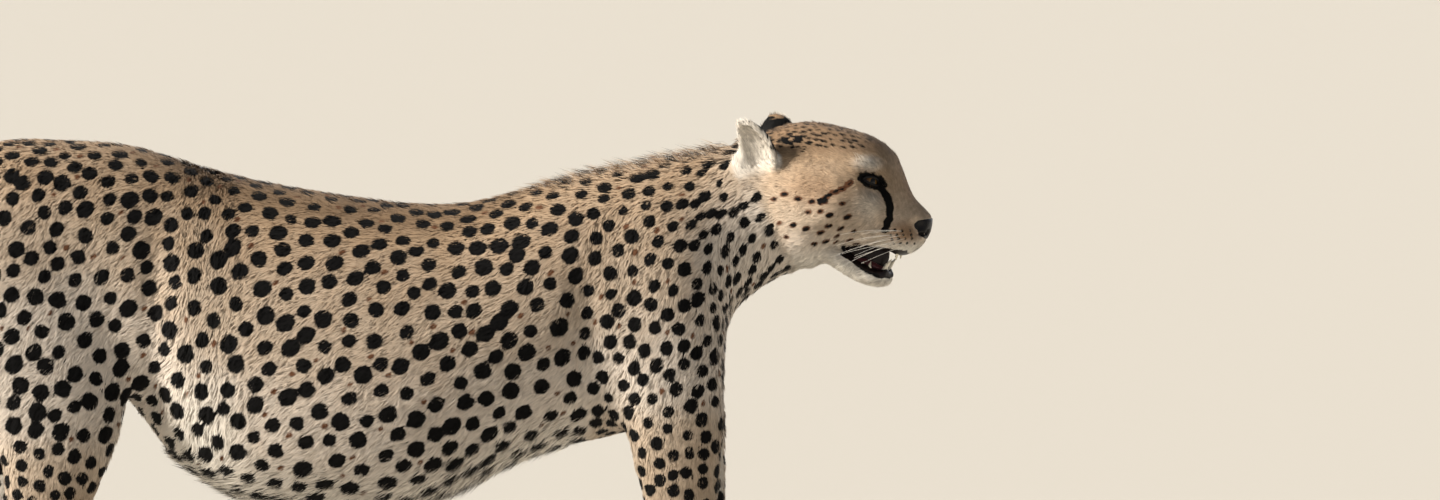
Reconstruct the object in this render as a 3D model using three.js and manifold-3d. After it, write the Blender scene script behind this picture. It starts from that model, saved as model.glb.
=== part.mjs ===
// A cheetah standing on all four feet, life size, as a still museum model.
// Millimetres. +X points to the head, +Y to the animal's left, +Z up.
// Every surface is drawn out to the tips of the coat.
import * as THREE from 'three';
import { mergeVertices } from 'three/addons/utils/BufferGeometryUtils.js';
import Module from 'manifold-3d';

const wasm = await Module();
wasm.setup();

// ---------------------------------------------------------------------------
// Driving dimensions
// ---------------------------------------------------------------------------
const GAP = 0.3; // between neighbouring solids
const FAR = 1000; // half size of a cutting block
const HEAD_YAW = THREE.MathUtils.degToRad(-10); // the head looks a little to the right
const HEAD_PIVOT = new THREE.Vector3(475, 0, 700); // where head and neck turn
const EYE_RADIUS = 15.5;
const EYE_CENTRE = [594, 36.5, 748]; // of the left eye, before the head turns
const FACE_DISH = [620, 61, 750]; // middle of the round hollow in front of the left eye
const FACE_DISH_RADIUS = 26;
const EAR_LENGTH = 44; // from its widest place to its tip
const EAR_WIDTH = 52;
const EARS = {
  ear_right: { foot: [476, -59, 775], axis: [-0.27, -0.31, 0.9], opening: [-0.2, -1, 0.15] },
  ear_left: { foot: [483, 58, 777], axis: [-0.17, 0.31, 0.92], opening: [0, 1, 0.15] },
};
const LEG_INNER = 24; // half width of the trunk between the upper legs
const LEG_OUTER = 300; // beyond the outer side of any leg
const TAIL_CUTS = [0.34, 0.68]; // where the tail is parted, as shares of its length

const COLOURS = {
  coat: 0xcda673,
  nose: 0x1d1716,
  eye: 0x6b4a1c,
  tongue: 0xb9777a,
};

// ---------------------------------------------------------------------------
// Solids and cuts
// ---------------------------------------------------------------------------

/** A solid from a closed three.js geometry, turned outside out if need be. */
function solidOf(geometry) {
  const bare = geometry.clone();
  bare.deleteAttribute('normal');
  bare.deleteAttribute('uv');
  const merged = mergeVertices(bare, 1e-4);
  const vertProperties = new Float32Array(merged.attributes.position.array);
  const make = (triVerts) => {
    const mesh = new wasm.Mesh({ numProp: 3, vertProperties, triVerts });
    mesh.merge();
    return new wasm.Manifold(mesh);
  };
  const triangles = new Uint32Array(merged.index.array);
  const solid = make(triangles);
  if (solid.volume() > 0) return solid;
  return make(triangles.reverse());
}

/** The solid, carried by a three.js matrix. */
function moved(geometry, matrix) {
  return solidOf(geometry.clone().applyMatrix4(matrix));
}

/** All the given solids as one. */
function joined(solids) {
  return solids.reduce((sum, solid) => sum.add(solid));
}

/** A BufferGeometry from a solid. */
function geometryOf(solid) {
  const mesh = solid.getMesh();
  const geometry = new THREE.BufferGeometry();
  const positions = new Float32Array(mesh.numVert * 3);
  for (let i = 0; i < mesh.numVert; i += 1) {
    for (let axis = 0; axis < 3; axis += 1) {
      positions[3 * i + axis] = mesh.vertProperties[i * mesh.numProp + axis];
    }
  }
  geometry.setAttribute('position', new THREE.BufferAttribute(positions, 3));
  geometry.setIndex(new THREE.BufferAttribute(new Uint32Array(mesh.triVerts), 1));
  geometry.computeVertexNormals();
  return geometry;
}

/** The outline with every edge moved outwards by the distance (corners mitred). */
function grownOutline(points, distance) {
  const corners = points.map(([x, z]) => new THREE.Vector2(x, z));
  const turn = THREE.ShapeUtils.area(corners) > 0 ? 1 : -1;
  return corners.map((corner, i) => {
    const before = corners[(i + corners.length - 1) % corners.length];
    const after = corners[(i + 1) % corners.length];
    const edgeIn = corner.clone().sub(before).normalize();
    const edgeOut = after.clone().sub(corner).normalize();
    const normalIn = new THREE.Vector2(edgeIn.y, -edgeIn.x).multiplyScalar(turn);
    const normalOut = new THREE.Vector2(edgeOut.y, -edgeOut.x).multiplyScalar(turn);
    const mitre = normalIn.clone().add(normalOut);
    mitre.multiplyScalar(distance / (1 + normalIn.dot(normalOut)));
    return corner.clone().add(mitre);
  });
}

/** A block whose side view is the outline and which runs across from yFrom to yTo. */
function block(outline, yFrom, yTo, grow = 0) {
  const shape = new THREE.Shape(grownOutline(outline, grow));
  const depth = yTo - yFrom + 2 * grow;
  const geometry = new THREE.ExtrudeGeometry(shape, { depth, bevelEnabled: false });
  geometry.rotateX(Math.PI / 2);
  geometry.translate(0, yTo + grow, 0);
  return solidOf(geometry);
}

// ---------------------------------------------------------------------------
// Lofts
// ---------------------------------------------------------------------------

/** One section of a loft: its two ends in the side view, its middle and half width across. */
function section(upper, lower, halfWidth, { y = 0, lean = 0, square = 2 } = {}) {
  return { upper, lower, halfWidth, y, lean, square };
}

/**
 * A closed form through the sections. A sphere's parallels become the sections, and its
 * poles the two ends. caps gives the share of the length over which each end is rounded.
 */
function loft(sections, { sides = 24, rings = 16, caps = [0.02, 0.02], grow = 0 } = {}) {
  const curve = (pick) => new THREE.CatmullRomCurve3(sections.map(pick), false, 'centripetal');
  const upperEdge = curve((s) => new THREE.Vector3(s.upper[0], s.y, s.upper[1]));
  const lowerEdge = curve((s) => new THREE.Vector3(s.lower[0], s.y, s.lower[1]));
  const form = curve((s) => new THREE.Vector3(s.halfWidth, 50 * s.lean, 50 * s.square));
  const across = new THREE.Vector3(0, 1, 0);
  const geometry = new THREE.SphereGeometry(1, sides, rings);
  const position = geometry.attributes.position;
  for (let i = 0; i < position.count; i += 1) {
    const column = i % (sides + 1);
    const row = Math.floor(i / (sides + 1));
    const even = row / rings;
    const t = THREE.MathUtils.lerp(even, (1 - Math.cos(Math.PI * even)) / 2, 0.4);
    const fromEnd = Math.min(t / caps[0], (1 - t) / caps[1], 1);
    const swell = Math.sqrt(Math.max(0, 1 - (1 - fromEnd) ** 2));
    const upper = upperEdge.getPoint(t);
    const lower = lowerEdge.getPoint(t);
    const [halfWidth, lean50, square50] = form.getPoint(t).toArray();
    const angle = (2 * Math.PI * column) / sides;
    const power = 2 / (square50 / 50);
    const rise = Math.sign(Math.cos(angle)) * Math.abs(Math.cos(angle)) ** power;
    const spread = Math.sign(Math.sin(angle)) * Math.abs(Math.sin(angle)) ** power;
    const height = upper.distanceTo(lower) / 2 + grow;
    const up = upper.clone().sub(lower).normalize();
    const point = upper.clone().add(lower).multiplyScalar(0.5);
    const lift = rise + (lean50 / 50) * (1 - rise * rise);
    point.addScaledVector(up, lift * height * swell);
    point.addScaledVector(across, spread * (halfWidth + grow) * swell);
    position.setXYZ(i, point.x, point.y, point.z);
  }
  return solidOf(geometry);
}

/** An ellipsoid with the given half sizes, turned by Euler angles, at a place. */
function ellipsoid(radii, centre, turn = [0, 0, 0], segments = [14, 10]) {
  const geometry = new THREE.SphereGeometry(1, ...segments);
  geometry.rotateX(Math.PI / 2);
  const matrix = new THREE.Matrix4().compose(
    new THREE.Vector3(...centre),
    new THREE.Quaternion().setFromEuler(new THREE.Euler(...turn)),
    new THREE.Vector3(...radii),
  );
  return moved(geometry, matrix);
}

/** A pointed tooth or claw from its root to its tip. */
function spike(root, tip, radius, sides = 5) {
  const from = new THREE.Vector3(...root);
  const to = new THREE.Vector3(...tip);
  const length = from.distanceTo(to);
  const geometry = new THREE.CylinderGeometry(radius * 0.18, radius, length, sides);
  const turn = new THREE.Quaternion().setFromUnitVectors(
    new THREE.Vector3(0, 1, 0),
    to.clone().sub(from).normalize(),
  );
  const middle = from.clone().add(to).multiplyScalar(0.5);
  return moved(geometry, new THREE.Matrix4().compose(middle, turn, new THREE.Vector3(1, 1, 1)));
}

// ---------------------------------------------------------------------------
// Trunk, neck and tail
// ---------------------------------------------------------------------------
const TRUNK = [
  section([-446, 740], [-440, 630], 50),
  section([-412, 779], [-404, 570], 76, { lean: 0.1 }),
  section([-364, 793], [-352, 545], 86, { lean: 0.15 }),
  section([-290, 793], [-282, 545], 89, { lean: 0.1 }),
  section([-219, 789], [-216, 498], 92),
  section([-170, 774], [-178, 446], 100, { lean: -0.06 }),
  section([-116, 758], [-128, 405], 110, { lean: -0.1, square: 2.1 }),
  section([-55, 744], [-65, 383], 118, { lean: -0.12, square: 2.15 }),
  section([10, 734], [5, 375], 122, { lean: -0.12, square: 2.15 }),
  section([72, 725], [74, 379], 120, { lean: -0.12, square: 2.15 }),
  section([130, 722], [130, 394], 114, { lean: -0.1, square: 2.1 }),
  section([188, 733], [182, 425], 106, { lean: -0.06 }),
  section([250, 753], [242, 446], 98),
  section([318, 770], [312, 464], 88),
  section([372, 778], [375, 480], 78),
  section([412, 765], [418, 505], 64),
  section([432, 715], [440, 545], 46),
];

const NECK = [
  section([285, 735], [335, 560], 50),
  section([352, 775], [423, 574], 73),
  section([398, 787], [446, 606], 70),
  section([436, 793], [477, 628], 65),
  section([475, 800], [507, 643], 61),
  section([510, 790], [540, 668], 50),
];

const NECK_MESH = { sides: 18, rings: 7 };

const TAIL_PATH = new THREE.CatmullRomCurve3([
  new THREE.Vector3(-385, 0, 735),
  new THREE.Vector3(-458, 0, 720),
  new THREE.Vector3(-512, 2, 620),
  new THREE.Vector3(-552, 6, 505),
  new THREE.Vector3(-580, 12, 385),
  new THREE.Vector3(-602, 18, 270),
  new THREE.Vector3(-634, 24, 175),
  new THREE.Vector3(-690, 28, 124),
  new THREE.Vector3(-752, 30, 128),
]);
const TAIL_RADII = [38, 35, 29, 26, 25, 26, 28, 29, 24];

/** Sections square to a path in the side view. */
function sectionsAlong(path, radii) {
  return radii.map((radius, i) => {
    const t = i / (radii.length - 1);
    const centre = path.getPoint(t);
    const along = path.getTangent(t);
    const side = new THREE.Vector2(-along.z, along.x).normalize().multiplyScalar(radius);
    return section(
      [centre.x + side.x, centre.z + side.y],
      [centre.x - side.x, centre.z - side.y],
      radius * 0.94,
      { y: centre.y },
    );
  });
}

// ---------------------------------------------------------------------------
// Legs
// ---------------------------------------------------------------------------

/** A fore leg from the shoulder blade down into the paw; side is 1 on the left, -1 on the right. */
function foreLeg(side, stride) {
  const step = (z) => stride * (1 - THREE.MathUtils.smoothstep(z, 60, 560));
  const at = (z, front, rear, y, halfWidth) => section(
    [front + step(z), z],
    [rear + step(z), z],
    halfWidth,
    { y: side * y, square: 2.1 },
  );
  return loft([
    at(752, 388, 334, 44, 18),
    at(708, 418, 312, 52, 31),
    at(650, 436, 298, 57, 37),
    at(596, 439, 292, 59, 39),
    at(545, 436, 299, 60, 38),
    at(495, 437, 313, 60, 35),
    at(450, 434, 325, 59, 31),
    at(400, 429, 338, 58, 27.5),
    at(345, 425, 351, 57, 24.5),
    at(285, 422, 363, 55, 22),
    at(225, 423, 370, 54, 21.5),
    at(175, 427, 372, 54, 23.5),
    at(130, 424, 378, 54, 21.5),
    at(90, 424, 380, 54, 21),
    at(55, 431, 382, 54, 23),
    at(14, 428, 386, 54, 22),
  ], { sides: 10, rings: 18, caps: [0.05, 0.02] });
}

/** A hind leg from the hip down into the paw. */
function hindLeg(side, stride) {
  const step = (z) => stride * (1 - THREE.MathUtils.smoothstep(z, 230, 660));
  const at = (front, rear, y, halfWidth) => section(
    [front[0] + step(front[1]), front[1]],
    [rear[0] + step(rear[1]), rear[1]],
    halfWidth,
    { y: side * y, square: 2.1 },
  );
  return loft([
    at([-310, 764], [-405, 754], 46, 20),
    at([-270, 715], [-446, 705], 55, 36),
    at([-240, 655], [-461, 650], 60, 42),
    at([-222, 595], [-448, 590], 62, 43),
    at([-213, 540], [-420, 535], 64, 41),
    at([-215, 498], [-392, 490], 65, 38),
    at([-229, 458], [-368, 452], 65, 34),
    at([-246, 415], [-360, 415], 64, 30),
    at([-268, 365], [-364, 372], 63, 26),
    at([-294, 315], [-374, 328], 62, 22),
    at([-315, 262], [-389, 280], 61, 21),
    at([-323, 215], [-383, 222], 60, 22),
    at([-320, 160], [-370, 160], 60, 20.5),
    at([-318, 95], [-363, 95], 60, 20.5),
    at([-306, 54], [-360, 52], 60, 22.5),
    at([-306, 14], [-352, 14], 60, 21),
  ], { sides: 10, rings: 19, caps: [0.05, 0.02] });
}

/**
 * A paw with four toes, blunt claws and flat-bottomed pads. heel is the back of the paw,
 * and length runs from there to the tips of the middle toes.
 */
function paw(side, heel, y, length, width) {
  const centre = side * y;
  const fullness = { y: centre, square: 2.7 };
  const body = loft([
    section([heel + 8, 40], [heel + 3, 10], width * 0.24, { y: centre }),
    section([heel + length * 0.28, 58], [heel + length * 0.2, -3], width * 0.36, { y: centre }),
    section([heel + length * 0.57, 44], [heel + length * 0.5, -3], width * 0.43, fullness),
    section([heel + length * 0.8, 29], [heel + length * 0.78, 3], width * 0.38, fullness),
  ], { sides: 8, rings: 4, caps: [0.2, 0.25] });
  const toes = [-1.5, -0.5, 0.5, 1.5].map((place) => {
    const inner = Math.abs(place) < 1;
    const reach = heel + length * (inner ? 0.85 : 0.76);
    const across = centre + (place * width) / 4.4;
    const end = ellipsoid(
      [length * 0.17, width * 0.14, 13],
      [reach, across, 12],
      [0, 0.2, place * 0.08],
      [6, 5],
    );
    const knuckle = ellipsoid(
      [length * 0.2, width * 0.135, 12],
      [reach - length * 0.15, across, inner ? 27 : 22],
      [0, 0.5, place * 0.08],
      [6, 5],
    );
    const tip = reach + length * 0.13;
    const claw = spike([tip, across, 15], [tip + 10, across + place, 7], 3, 3);
    return end.add(knuckle).add(claw);
  });
  const below = block([[-FAR, 0], [-FAR, -50], [FAR, -50], [FAR, 0]], -FAR, FAR);
  return joined([body, ...toes]).subtract(below);
}

// ---------------------------------------------------------------------------
// Head, in its own frame before it turns on the neck
// ---------------------------------------------------------------------------
const SKULL = [
  section([446, 778], [462, 672], 46),
  section([490, 807], [502, 652], 62, { lean: -0.04, square: 2.1 }),
  section([531, 813], [535, 652], 70, { lean: -0.1, square: 2.15 }),
  section([568, 806], [566, 671], 68, { lean: -0.12, square: 2.15 }),
  section([599, 796], [590, 673], 59, { lean: -0.08, square: 2.15 }),
  section([620, 781], [608, 669], 49, { lean: -0.06, square: 2.15 }),
  section([631, 757], [621, 666], 38, { lean: -0.14, square: 2.2 }),
  section([640, 734], [633, 666], 32, { lean: -0.3, square: 2.25 }),
  section([655, 718], [646, 672], 24, { lean: -0.3, square: 2.2 }),
  section([668, 704], [656, 682], 13),
];

const SKULL_MESH = { sides: 20, rings: 16, caps: [0.03, 0.05] };

const LOWER_JAW = [
  section([524, 702], [514, 656], 46),
  section([552, 692], [548, 656], 46),
  section([574, 675], [570, 643], 38, { square: 2.3 }),
  section([592, 662], [588, 634], 30, { square: 2.3 }),
  section([608, 655], [606, 631], 25, { square: 2.2 }),
  section([624, 652], [622, 637], 15),
];

const MOUTH = [
  section([562, 684], [558, 674], 22),
  section([585, 689], [581, 651], 24),
  section([608, 687], [604, 643], 19),
  section([632, 678], [620, 645], 13),
];

/** An ear: a cupped shell. axis runs from its foot to its tip, opening is the hollow side. */
function ear({ foot, axis, opening }) {
  const outer = ellipsoid([16, EAR_WIDTH / 2, EAR_LENGTH], [0, 0, 0], [0, 0, 0], [10, 8]);
  const hollow = ellipsoid(
    [14, EAR_WIDTH / 2 - 4, EAR_LENGTH - 5],
    [6, 0, 1],
    [0, 0, 0],
    [8, 6],
  );
  const inFront = block([[5, -100], [100, -100], [100, 100], [5, 100]], -100, 100);
  const below = block([[-100, -26], [-100, -100], [100, -100], [100, -26]], -100, 100);
  const shell = outer.subtract(hollow).subtract(inFront).subtract(below);
  const up = new THREE.Vector3(...axis).normalize();
  const across = up.clone().cross(new THREE.Vector3(...opening)).normalize();
  const matrix = new THREE.Matrix4().makeBasis(across.clone().cross(up), across, up);
  matrix.setPosition(...foot);
  return moved(geometryOf(shell), matrix);
}

/** Lower teeth: two canines and the row of small front teeth. */
function lowerTeeth() {
  const teeth = [];
  for (const side of [-1, 1]) {
    teeth.push(spike([612, side * 12, 640], [618, side * 14, 664], 4.4));
  }
  teeth.push(ellipsoid([3, 8, 8], [616, 0, 646], [0, 0, 0], [6, 4]));
  return teeth;
}

/** Upper teeth, behind the lips: two canines and the front row. */
function upperTeeth() {
  const teeth = [];
  for (const side of [-1, 1]) {
    teeth.push(spike([627, side * 15, 684], [625, side * 16, 662], 4.6));
  }
  teeth.push(ellipsoid([3, 10, 8], [637, 0, 675], [0, 0, 0], [6, 4]));
  return teeth;
}

// ---------------------------------------------------------------------------
// Side-view outlines along which the body is parted
// ---------------------------------------------------------------------------
const HEAD_OUTLINE = [[442, 900], [442, 806], [512, 628], [512, 560], [760, 560], [760, 900]];
const JAW_OUTLINE = [
  [514, 560], [508, 693], [567, 679], [586, 668], [608, 662], [664, 659], [664, 560],
];
const NOSE_OUTLINE = [[652, 728], [641, 702], [648, 680], [702, 670], [702, 730]];
const NECK_OUTLINE = [[345, 900], [345, 790], [432, 596], [470, 560], [560, 560], [560, 900]];
const TAIL_OUTLINE = [[-1000, 40], [-1000, 900], [-446, 900], [-446, 750], [-478, 640], [-478, 40]];
const SHOULDER_OUTLINE = [
  [356, 748], [304, 700], [284, 610], [290, 446], [500, 446], [500, 560], [444, 660], [412, 735],
];
const FOREARM_OUTLINE = [[250, 446], [250, 92], [560, 92], [560, 446]];
const FOREPAW_OUTLINE = [[250, 92], [250, -20], [600, -20], [600, 92]];
const THIGH_OUTLINE = [
  [-330, 764], [-262, 724], [-222, 650], [-196, 560], [-196, 490], [-240, 420],
  [-520, 420], [-520, 640], [-480, 700], [-420, 758],
];
const SHANK_OUTLINE = [[-200, 420], [-560, 420], [-560, 92], [-200, 92]];
const HINDPAW_OUTLINE = [[-560, 92], [-560, -20], [-200, -20], [-200, 92]];

/** The solid, turned with the head on the neck. */
function turnedWithHead(solid) {
  const matrix = new THREE.Matrix4().makeTranslation(HEAD_PIVOT);
  matrix.multiply(new THREE.Matrix4().makeRotationZ(HEAD_YAW));
  matrix.multiply(new THREE.Matrix4().makeTranslation(HEAD_PIVOT.clone().negate()));
  return moved(geometryOf(solid), matrix);
}

/** The part of the tail beyond the share of its length. */
function tailBeyond(share, grow) {
  const centre = TAIL_PATH.getPoint(share);
  const along = TAIL_PATH.getTangent(share).normalize();
  const turn = new THREE.Quaternion().setFromUnitVectors(new THREE.Vector3(1, 0, 0), along);
  centre.addScaledVector(along, FAR / 2 - grow);
  const matrix = new THREE.Matrix4().compose(centre, turn, new THREE.Vector3(1, 1, 1));
  const beyond = moved(new THREE.BoxGeometry(FAR, FAR, FAR), matrix);
  return beyond.intersect(block(TAIL_OUTLINE, -90, 90, grow));
}

/** The regions that part the flesh, in the order in which they are cut off the trunk. */
const REGIONS = {
  nose: (grow) => turnedWithHead(block(NOSE_OUTLINE, -17, 17, grow)),
  lower_jaw: (grow) => turnedWithHead(block(JAW_OUTLINE, -90, 90, grow)),
  head: (grow) => block(HEAD_OUTLINE, -120, 120, grow),
  tail_tip: (grow) => tailBeyond(TAIL_CUTS[1], grow),
  tail_middle: (grow) => tailBeyond(TAIL_CUTS[0], grow),
  tail_base: (grow) => block(TAIL_OUTLINE, -90, 90, grow),
};
for (const side of ['right', 'left']) {
  const cut = (outline, inner, grow) => (side === 'left'
    ? block(outline, inner, LEG_OUTER, grow)
    : block(outline, -LEG_OUTER, -inner, grow));
  REGIONS[`shoulder_${side}`] = (grow) => cut(SHOULDER_OUTLINE, LEG_INNER, grow);
  REGIONS[`foreleg_${side}`] = (grow) => cut(FOREARM_OUTLINE, 1, grow);
  REGIONS[`forepaw_${side}`] = (grow) => cut(FOREPAW_OUTLINE, 1, grow);
  REGIONS[`thigh_${side}`] = (grow) => cut(THIGH_OUTLINE, LEG_INNER, grow);
  REGIONS[`hindleg_${side}`] = (grow) => cut(SHANK_OUTLINE, 1, grow);
  REGIONS[`hindpaw_${side}`] = (grow) => cut(HINDPAW_OUTLINE, 1, grow);
}
REGIONS.neck = (grow) => block(NECK_OUTLINE, -120, 120, grow);

// ---------------------------------------------------------------------------
// The model
// ---------------------------------------------------------------------------
const model = new THREE.Group();

/** Puts a solid in the model as a named mesh with its own material. */
function place(name, solid, colour, roughness = 0.9) {
  const material = new THREE.MeshStandardMaterial({ color: colour, roughness, metalness: 0 });
  const mesh = new THREE.Mesh(geometryOf(solid), material);
  mesh.name = name;
  model.add(mesh);
}

/** The head's flesh with its mouth, eye sockets and lid openings. */
function headForm() {
  const skull = loft(SKULL, SKULL_MESH);
  const jaw = loft(LOWER_JAW, { sides: 10, rings: 8, caps: [0.03, 0.07] });
  const mouth = loft(MOUTH, { sides: 8, rings: 5, caps: [0.1, 0.15] });
  let flesh = skull.add(jaw).subtract(mouth);
  for (const side of [-1, 1]) {
    const [x, y, z] = EYE_CENTRE;
    const radius = EYE_RADIUS + GAP;
    const socket = ellipsoid([radius, radius, radius], [x, side * y, z], [0, 0, 0], [10, 7]);
    const dish = ellipsoid(
      [FACE_DISH_RADIUS, FACE_DISH_RADIUS, FACE_DISH_RADIUS],
      [FACE_DISH[0], side * FACE_DISH[1], FACE_DISH[2]],
      [0, 0, 0],
      [10, 8],
    );
    flesh = flesh.subtract(dish).subtract(socket);
  }
  return flesh;
}

const whole = joined([
  loft(TRUNK, { sides: 22, rings: 21, caps: [0.05, 0.05] }),
  loft(NECK, NECK_MESH),
  loft(sectionsAlong(TAIL_PATH, TAIL_RADII), { sides: 9, rings: 24, caps: [0.02, 0.09] }),
  turnedWithHead(headForm()),
  foreLeg(-1, 0),
  foreLeg(1, 34),
  hindLeg(-1, 0),
  hindLeg(1, -74),
  paw(-1, 370, 54, 96, 62),
  paw(1, 404, 54, 96, 62),
  paw(-1, -362, 60, 98, 58),
  paw(1, -436, 60, 98, 58),
]);
const teeth = {
  head: turnedWithHead(joined(upperTeeth())),
  lower_jaw: turnedWithHead(joined(lowerTeeth())),
};

let rest = whole;
for (const [name, region] of Object.entries(REGIONS)) {
  let piece = rest.intersect(region(-GAP));
  if (teeth[name]) piece = piece.add(teeth[name]);
  place(name, piece, name === 'nose' ? COLOURS.nose : COLOURS.coat);
  rest = rest.subtract(region(0));
}
place('trunk', rest, COLOURS.coat);

for (const [name, side] of [['eye_right', -1], ['eye_left', 1]]) {
  const [x, y, z] = EYE_CENTRE;
  const ball = ellipsoid([EYE_RADIUS, EYE_RADIUS, EYE_RADIUS], [x, side * y, z], [0, 0, 0], [10, 7]);
  place(name, turnedWithHead(ball), COLOURS.eye, 0.15);
}

const grownHead = loft(SKULL, { ...SKULL_MESH, grow: GAP });
const grownNeck = loft(NECK, { ...NECK_MESH, grow: GAP });
for (const [name, setting] of Object.entries(EARS)) {
  const shell = turnedWithHead(ear(setting).subtract(grownHead)).subtract(grownNeck);
  place(name, shell, COLOURS.coat);
}

const tongue = loft([
  section([565, 681], [563, 672], 13),
  section([585, 674], [583, 655], 16),
  section([602, 663], [601, 648], 13),
  section([611, 658], [610, 650], 9),
], { sides: 10, rings: 7, caps: [0.1, 0.2] });
place('tongue', turnedWithHead(tongue), COLOURS.tongue, 0.5);

// The origin is the middle of the model's box on the floor.
const box = new THREE.Box3().setFromObject(model);
model.position.set(-(box.min.x + box.max.x) / 2, -(box.min.y + box.max.y) / 2, -box.min.z);

export default model;
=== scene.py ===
import math
from itertools import product

import bmesh
import bpy
import numpy as np
from mathutils import Matrix, Vector
from mathutils.kdtree import KDTree


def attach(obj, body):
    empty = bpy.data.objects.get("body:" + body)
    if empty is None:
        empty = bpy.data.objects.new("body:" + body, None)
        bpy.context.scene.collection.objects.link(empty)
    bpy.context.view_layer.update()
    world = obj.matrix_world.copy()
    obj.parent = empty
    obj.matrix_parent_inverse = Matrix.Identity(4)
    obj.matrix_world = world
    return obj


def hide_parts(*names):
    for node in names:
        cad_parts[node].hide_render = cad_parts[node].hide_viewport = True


# A standing cheetah: one skin over the CAD flesh, a coat of thin overlapping tufts that
# carries the same markings, and its own eyes, lids, nose leather, mouth, teeth, claws,
# pads and whiskers. Blender works in metres; the places below are in the CAD's drawing
# frame, in millimetres, because the CAD is drawn there before it is centred.
# Arrays of such places are called q, in the head's own frame h, and m there with both
# sides laid on the left one; n are the normals of the skin at them.

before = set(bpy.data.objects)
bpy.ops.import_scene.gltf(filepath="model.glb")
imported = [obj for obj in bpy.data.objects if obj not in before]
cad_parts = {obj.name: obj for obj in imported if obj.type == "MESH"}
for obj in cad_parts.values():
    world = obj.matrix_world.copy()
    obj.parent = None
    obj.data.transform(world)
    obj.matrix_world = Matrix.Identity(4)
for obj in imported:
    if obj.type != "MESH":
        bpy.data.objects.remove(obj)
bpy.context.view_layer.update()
MM = 0.001

PAIRED = ["ear", "shoulder", "foreleg", "forepaw", "thigh", "hindleg", "hindpaw"]
FLESH = (
    ["trunk", "neck", "head", "lower_jaw", "nose"]
    + [f"{part}_{word}" for part in PAIRED for word in ("right", "left")]
    + ["tail_base", "tail_middle", "tail_tip"]
)

DRAWING_SHIFT = 45.43  # from the drawing frame to the centred frame, along X
HEAD_PIVOT = np.array([475.0, 0.0, 700.0])
HEAD_YAW = math.radians(-10)
EYE_CENTRE = np.array([593.0, 35.6, 748.0])  # left eye, before the head turns
EYE_RADIUS = 15.5
GAZE = np.array([0.74, 0.66, 0.05])

random_numbers = np.random.default_rng(7)


# ======== Small helpers ========
def linear(colour):
    """An sRGB hex colour as linear RGBA."""
    parts = [int(colour[i:i + 2], 16) / 255 for i in (0, 2, 4)]
    return tuple(c / 12.92 if c <= 0.04045 else ((c + 0.055) / 1.055) ** 2.4 for c in parts) + (1,)


def add(tree, kind, settings=(), links=()):
    """Adds a node; settings go to its sockets or properties, links to its input sockets."""
    node = tree.nodes.new(kind)
    for name, value in dict(settings).items():
        if isinstance(name, int) or name in node.inputs:
            node.inputs[name].default_value = value
        else:
            setattr(node, name, value)
    for name, source in dict(links).items():
        tree.links.new(source, node.inputs[name])
    return node


def soft(x, low, high):
    """Smooth step from 0 at low to 1 at high."""
    t = np.clip((x - low) / (high - low), 0, 1)
    return t * t * (3 - 2 * t)


def unit(v):
    return v / np.maximum(np.linalg.norm(v, axis=-1, keepdims=True), 1e-12)


def drawn(points):
    """Centred metres to drawing millimetres."""
    return points / MM - np.array([DRAWING_SHIFT, 0, 0])


def centred(points):
    """Drawing millimetres to centred metres."""
    return (np.asarray(points) + np.array([DRAWING_SHIFT, 0, 0])) * MM


def turned(vectors, angle):
    """The vectors, turned about the vertical."""
    c, s = math.cos(angle), math.sin(angle)
    return vectors @ np.array([[c, s, 0], [-s, c, 0], [0, 0, 1]])


def in_head(points):
    """Drawing millimetres to the head's own frame, where it looks straight along X."""
    return turned(points - HEAD_PIVOT, -HEAD_YAW) + HEAD_PIVOT


def from_head(points):
    return turned(np.asarray(points, float) - HEAD_PIVOT, HEAD_YAW) + HEAD_PIVOT


def waves(points, size, seed, count=7):
    """Smooth noise of about -1 to 1 with lumps of the given size."""
    numbers = np.random.default_rng(seed)
    total = np.zeros(len(points))
    for _ in range(count):
        way = unit(numbers.normal(size=3)) * numbers.uniform(0.7, 1.5)
        total += np.sin(points @ way * (2 * math.pi / size) + numbers.uniform(0, 6.28))
    return total / math.sqrt(count) / 0.9


def to_path(points, path):
    """Distance from the points to a polyline, and the share of its length."""
    path = np.asarray(path, float)
    steps = np.diff(path, axis=0)
    lengths = np.linalg.norm(steps, axis=1)
    before = np.concatenate([[0], np.cumsum(lengths)])
    best = np.full(len(points), 1e9)
    share = np.zeros(len(points))
    for i, step in enumerate(steps):
        offset = points - path[i]
        t = np.clip(offset @ step / lengths[i] ** 2, 0, 1)
        distance = np.linalg.norm(offset - t[:, None] * step, axis=1)
        closer = distance < best
        best[closer] = distance[closer]
        share[closer] = (before[i] + t[closer] * lengths[i]) / before[-1]
    return best, share


def array_of(items, field, width, kind=float):
    """One field of all the items, in rows of the given width."""
    values = np.empty(len(items) * width, kind)
    items.foreach_get(field, values)
    return values.reshape(-1, width)


def coordinates(mesh):
    return array_of(mesh.vertices, "co", 3)


def set_coordinates(mesh, points):
    mesh.vertices.foreach_set("co", points.astype(np.float32).ravel())
    mesh.update()


def vertex_normals(mesh):
    return array_of(mesh.vertex_normals, "vector", 3)


def set_values(mesh, name, values):
    """A float per vertex, read by the materials."""
    layer = mesh.attributes.new(name, "FLOAT", "POINT")
    layer.data.foreach_set("value", np.asarray(values, np.float32))


def object_from(mesh_or_bmesh, name):
    """A new object at the origin from a mesh or, with smooth shading, from a bmesh."""
    mesh = mesh_or_bmesh
    if isinstance(mesh_or_bmesh, bmesh.types.BMesh):
        mesh = bpy.data.meshes.new(name)
        mesh_or_bmesh.to_mesh(mesh)
        mesh_or_bmesh.free()
        mesh.shade_smooth()
    piece = bpy.data.objects.new(name, mesh)
    bpy.context.scene.collection.objects.link(piece)
    return piece


def finish_piece(piece, material, replaces=()):
    """Gives a piece its material and its body."""
    piece.data.materials.clear()
    piece.data.materials.append(material)
    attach(piece, "root")
    if replaces:
        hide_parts(*replaces)


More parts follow.
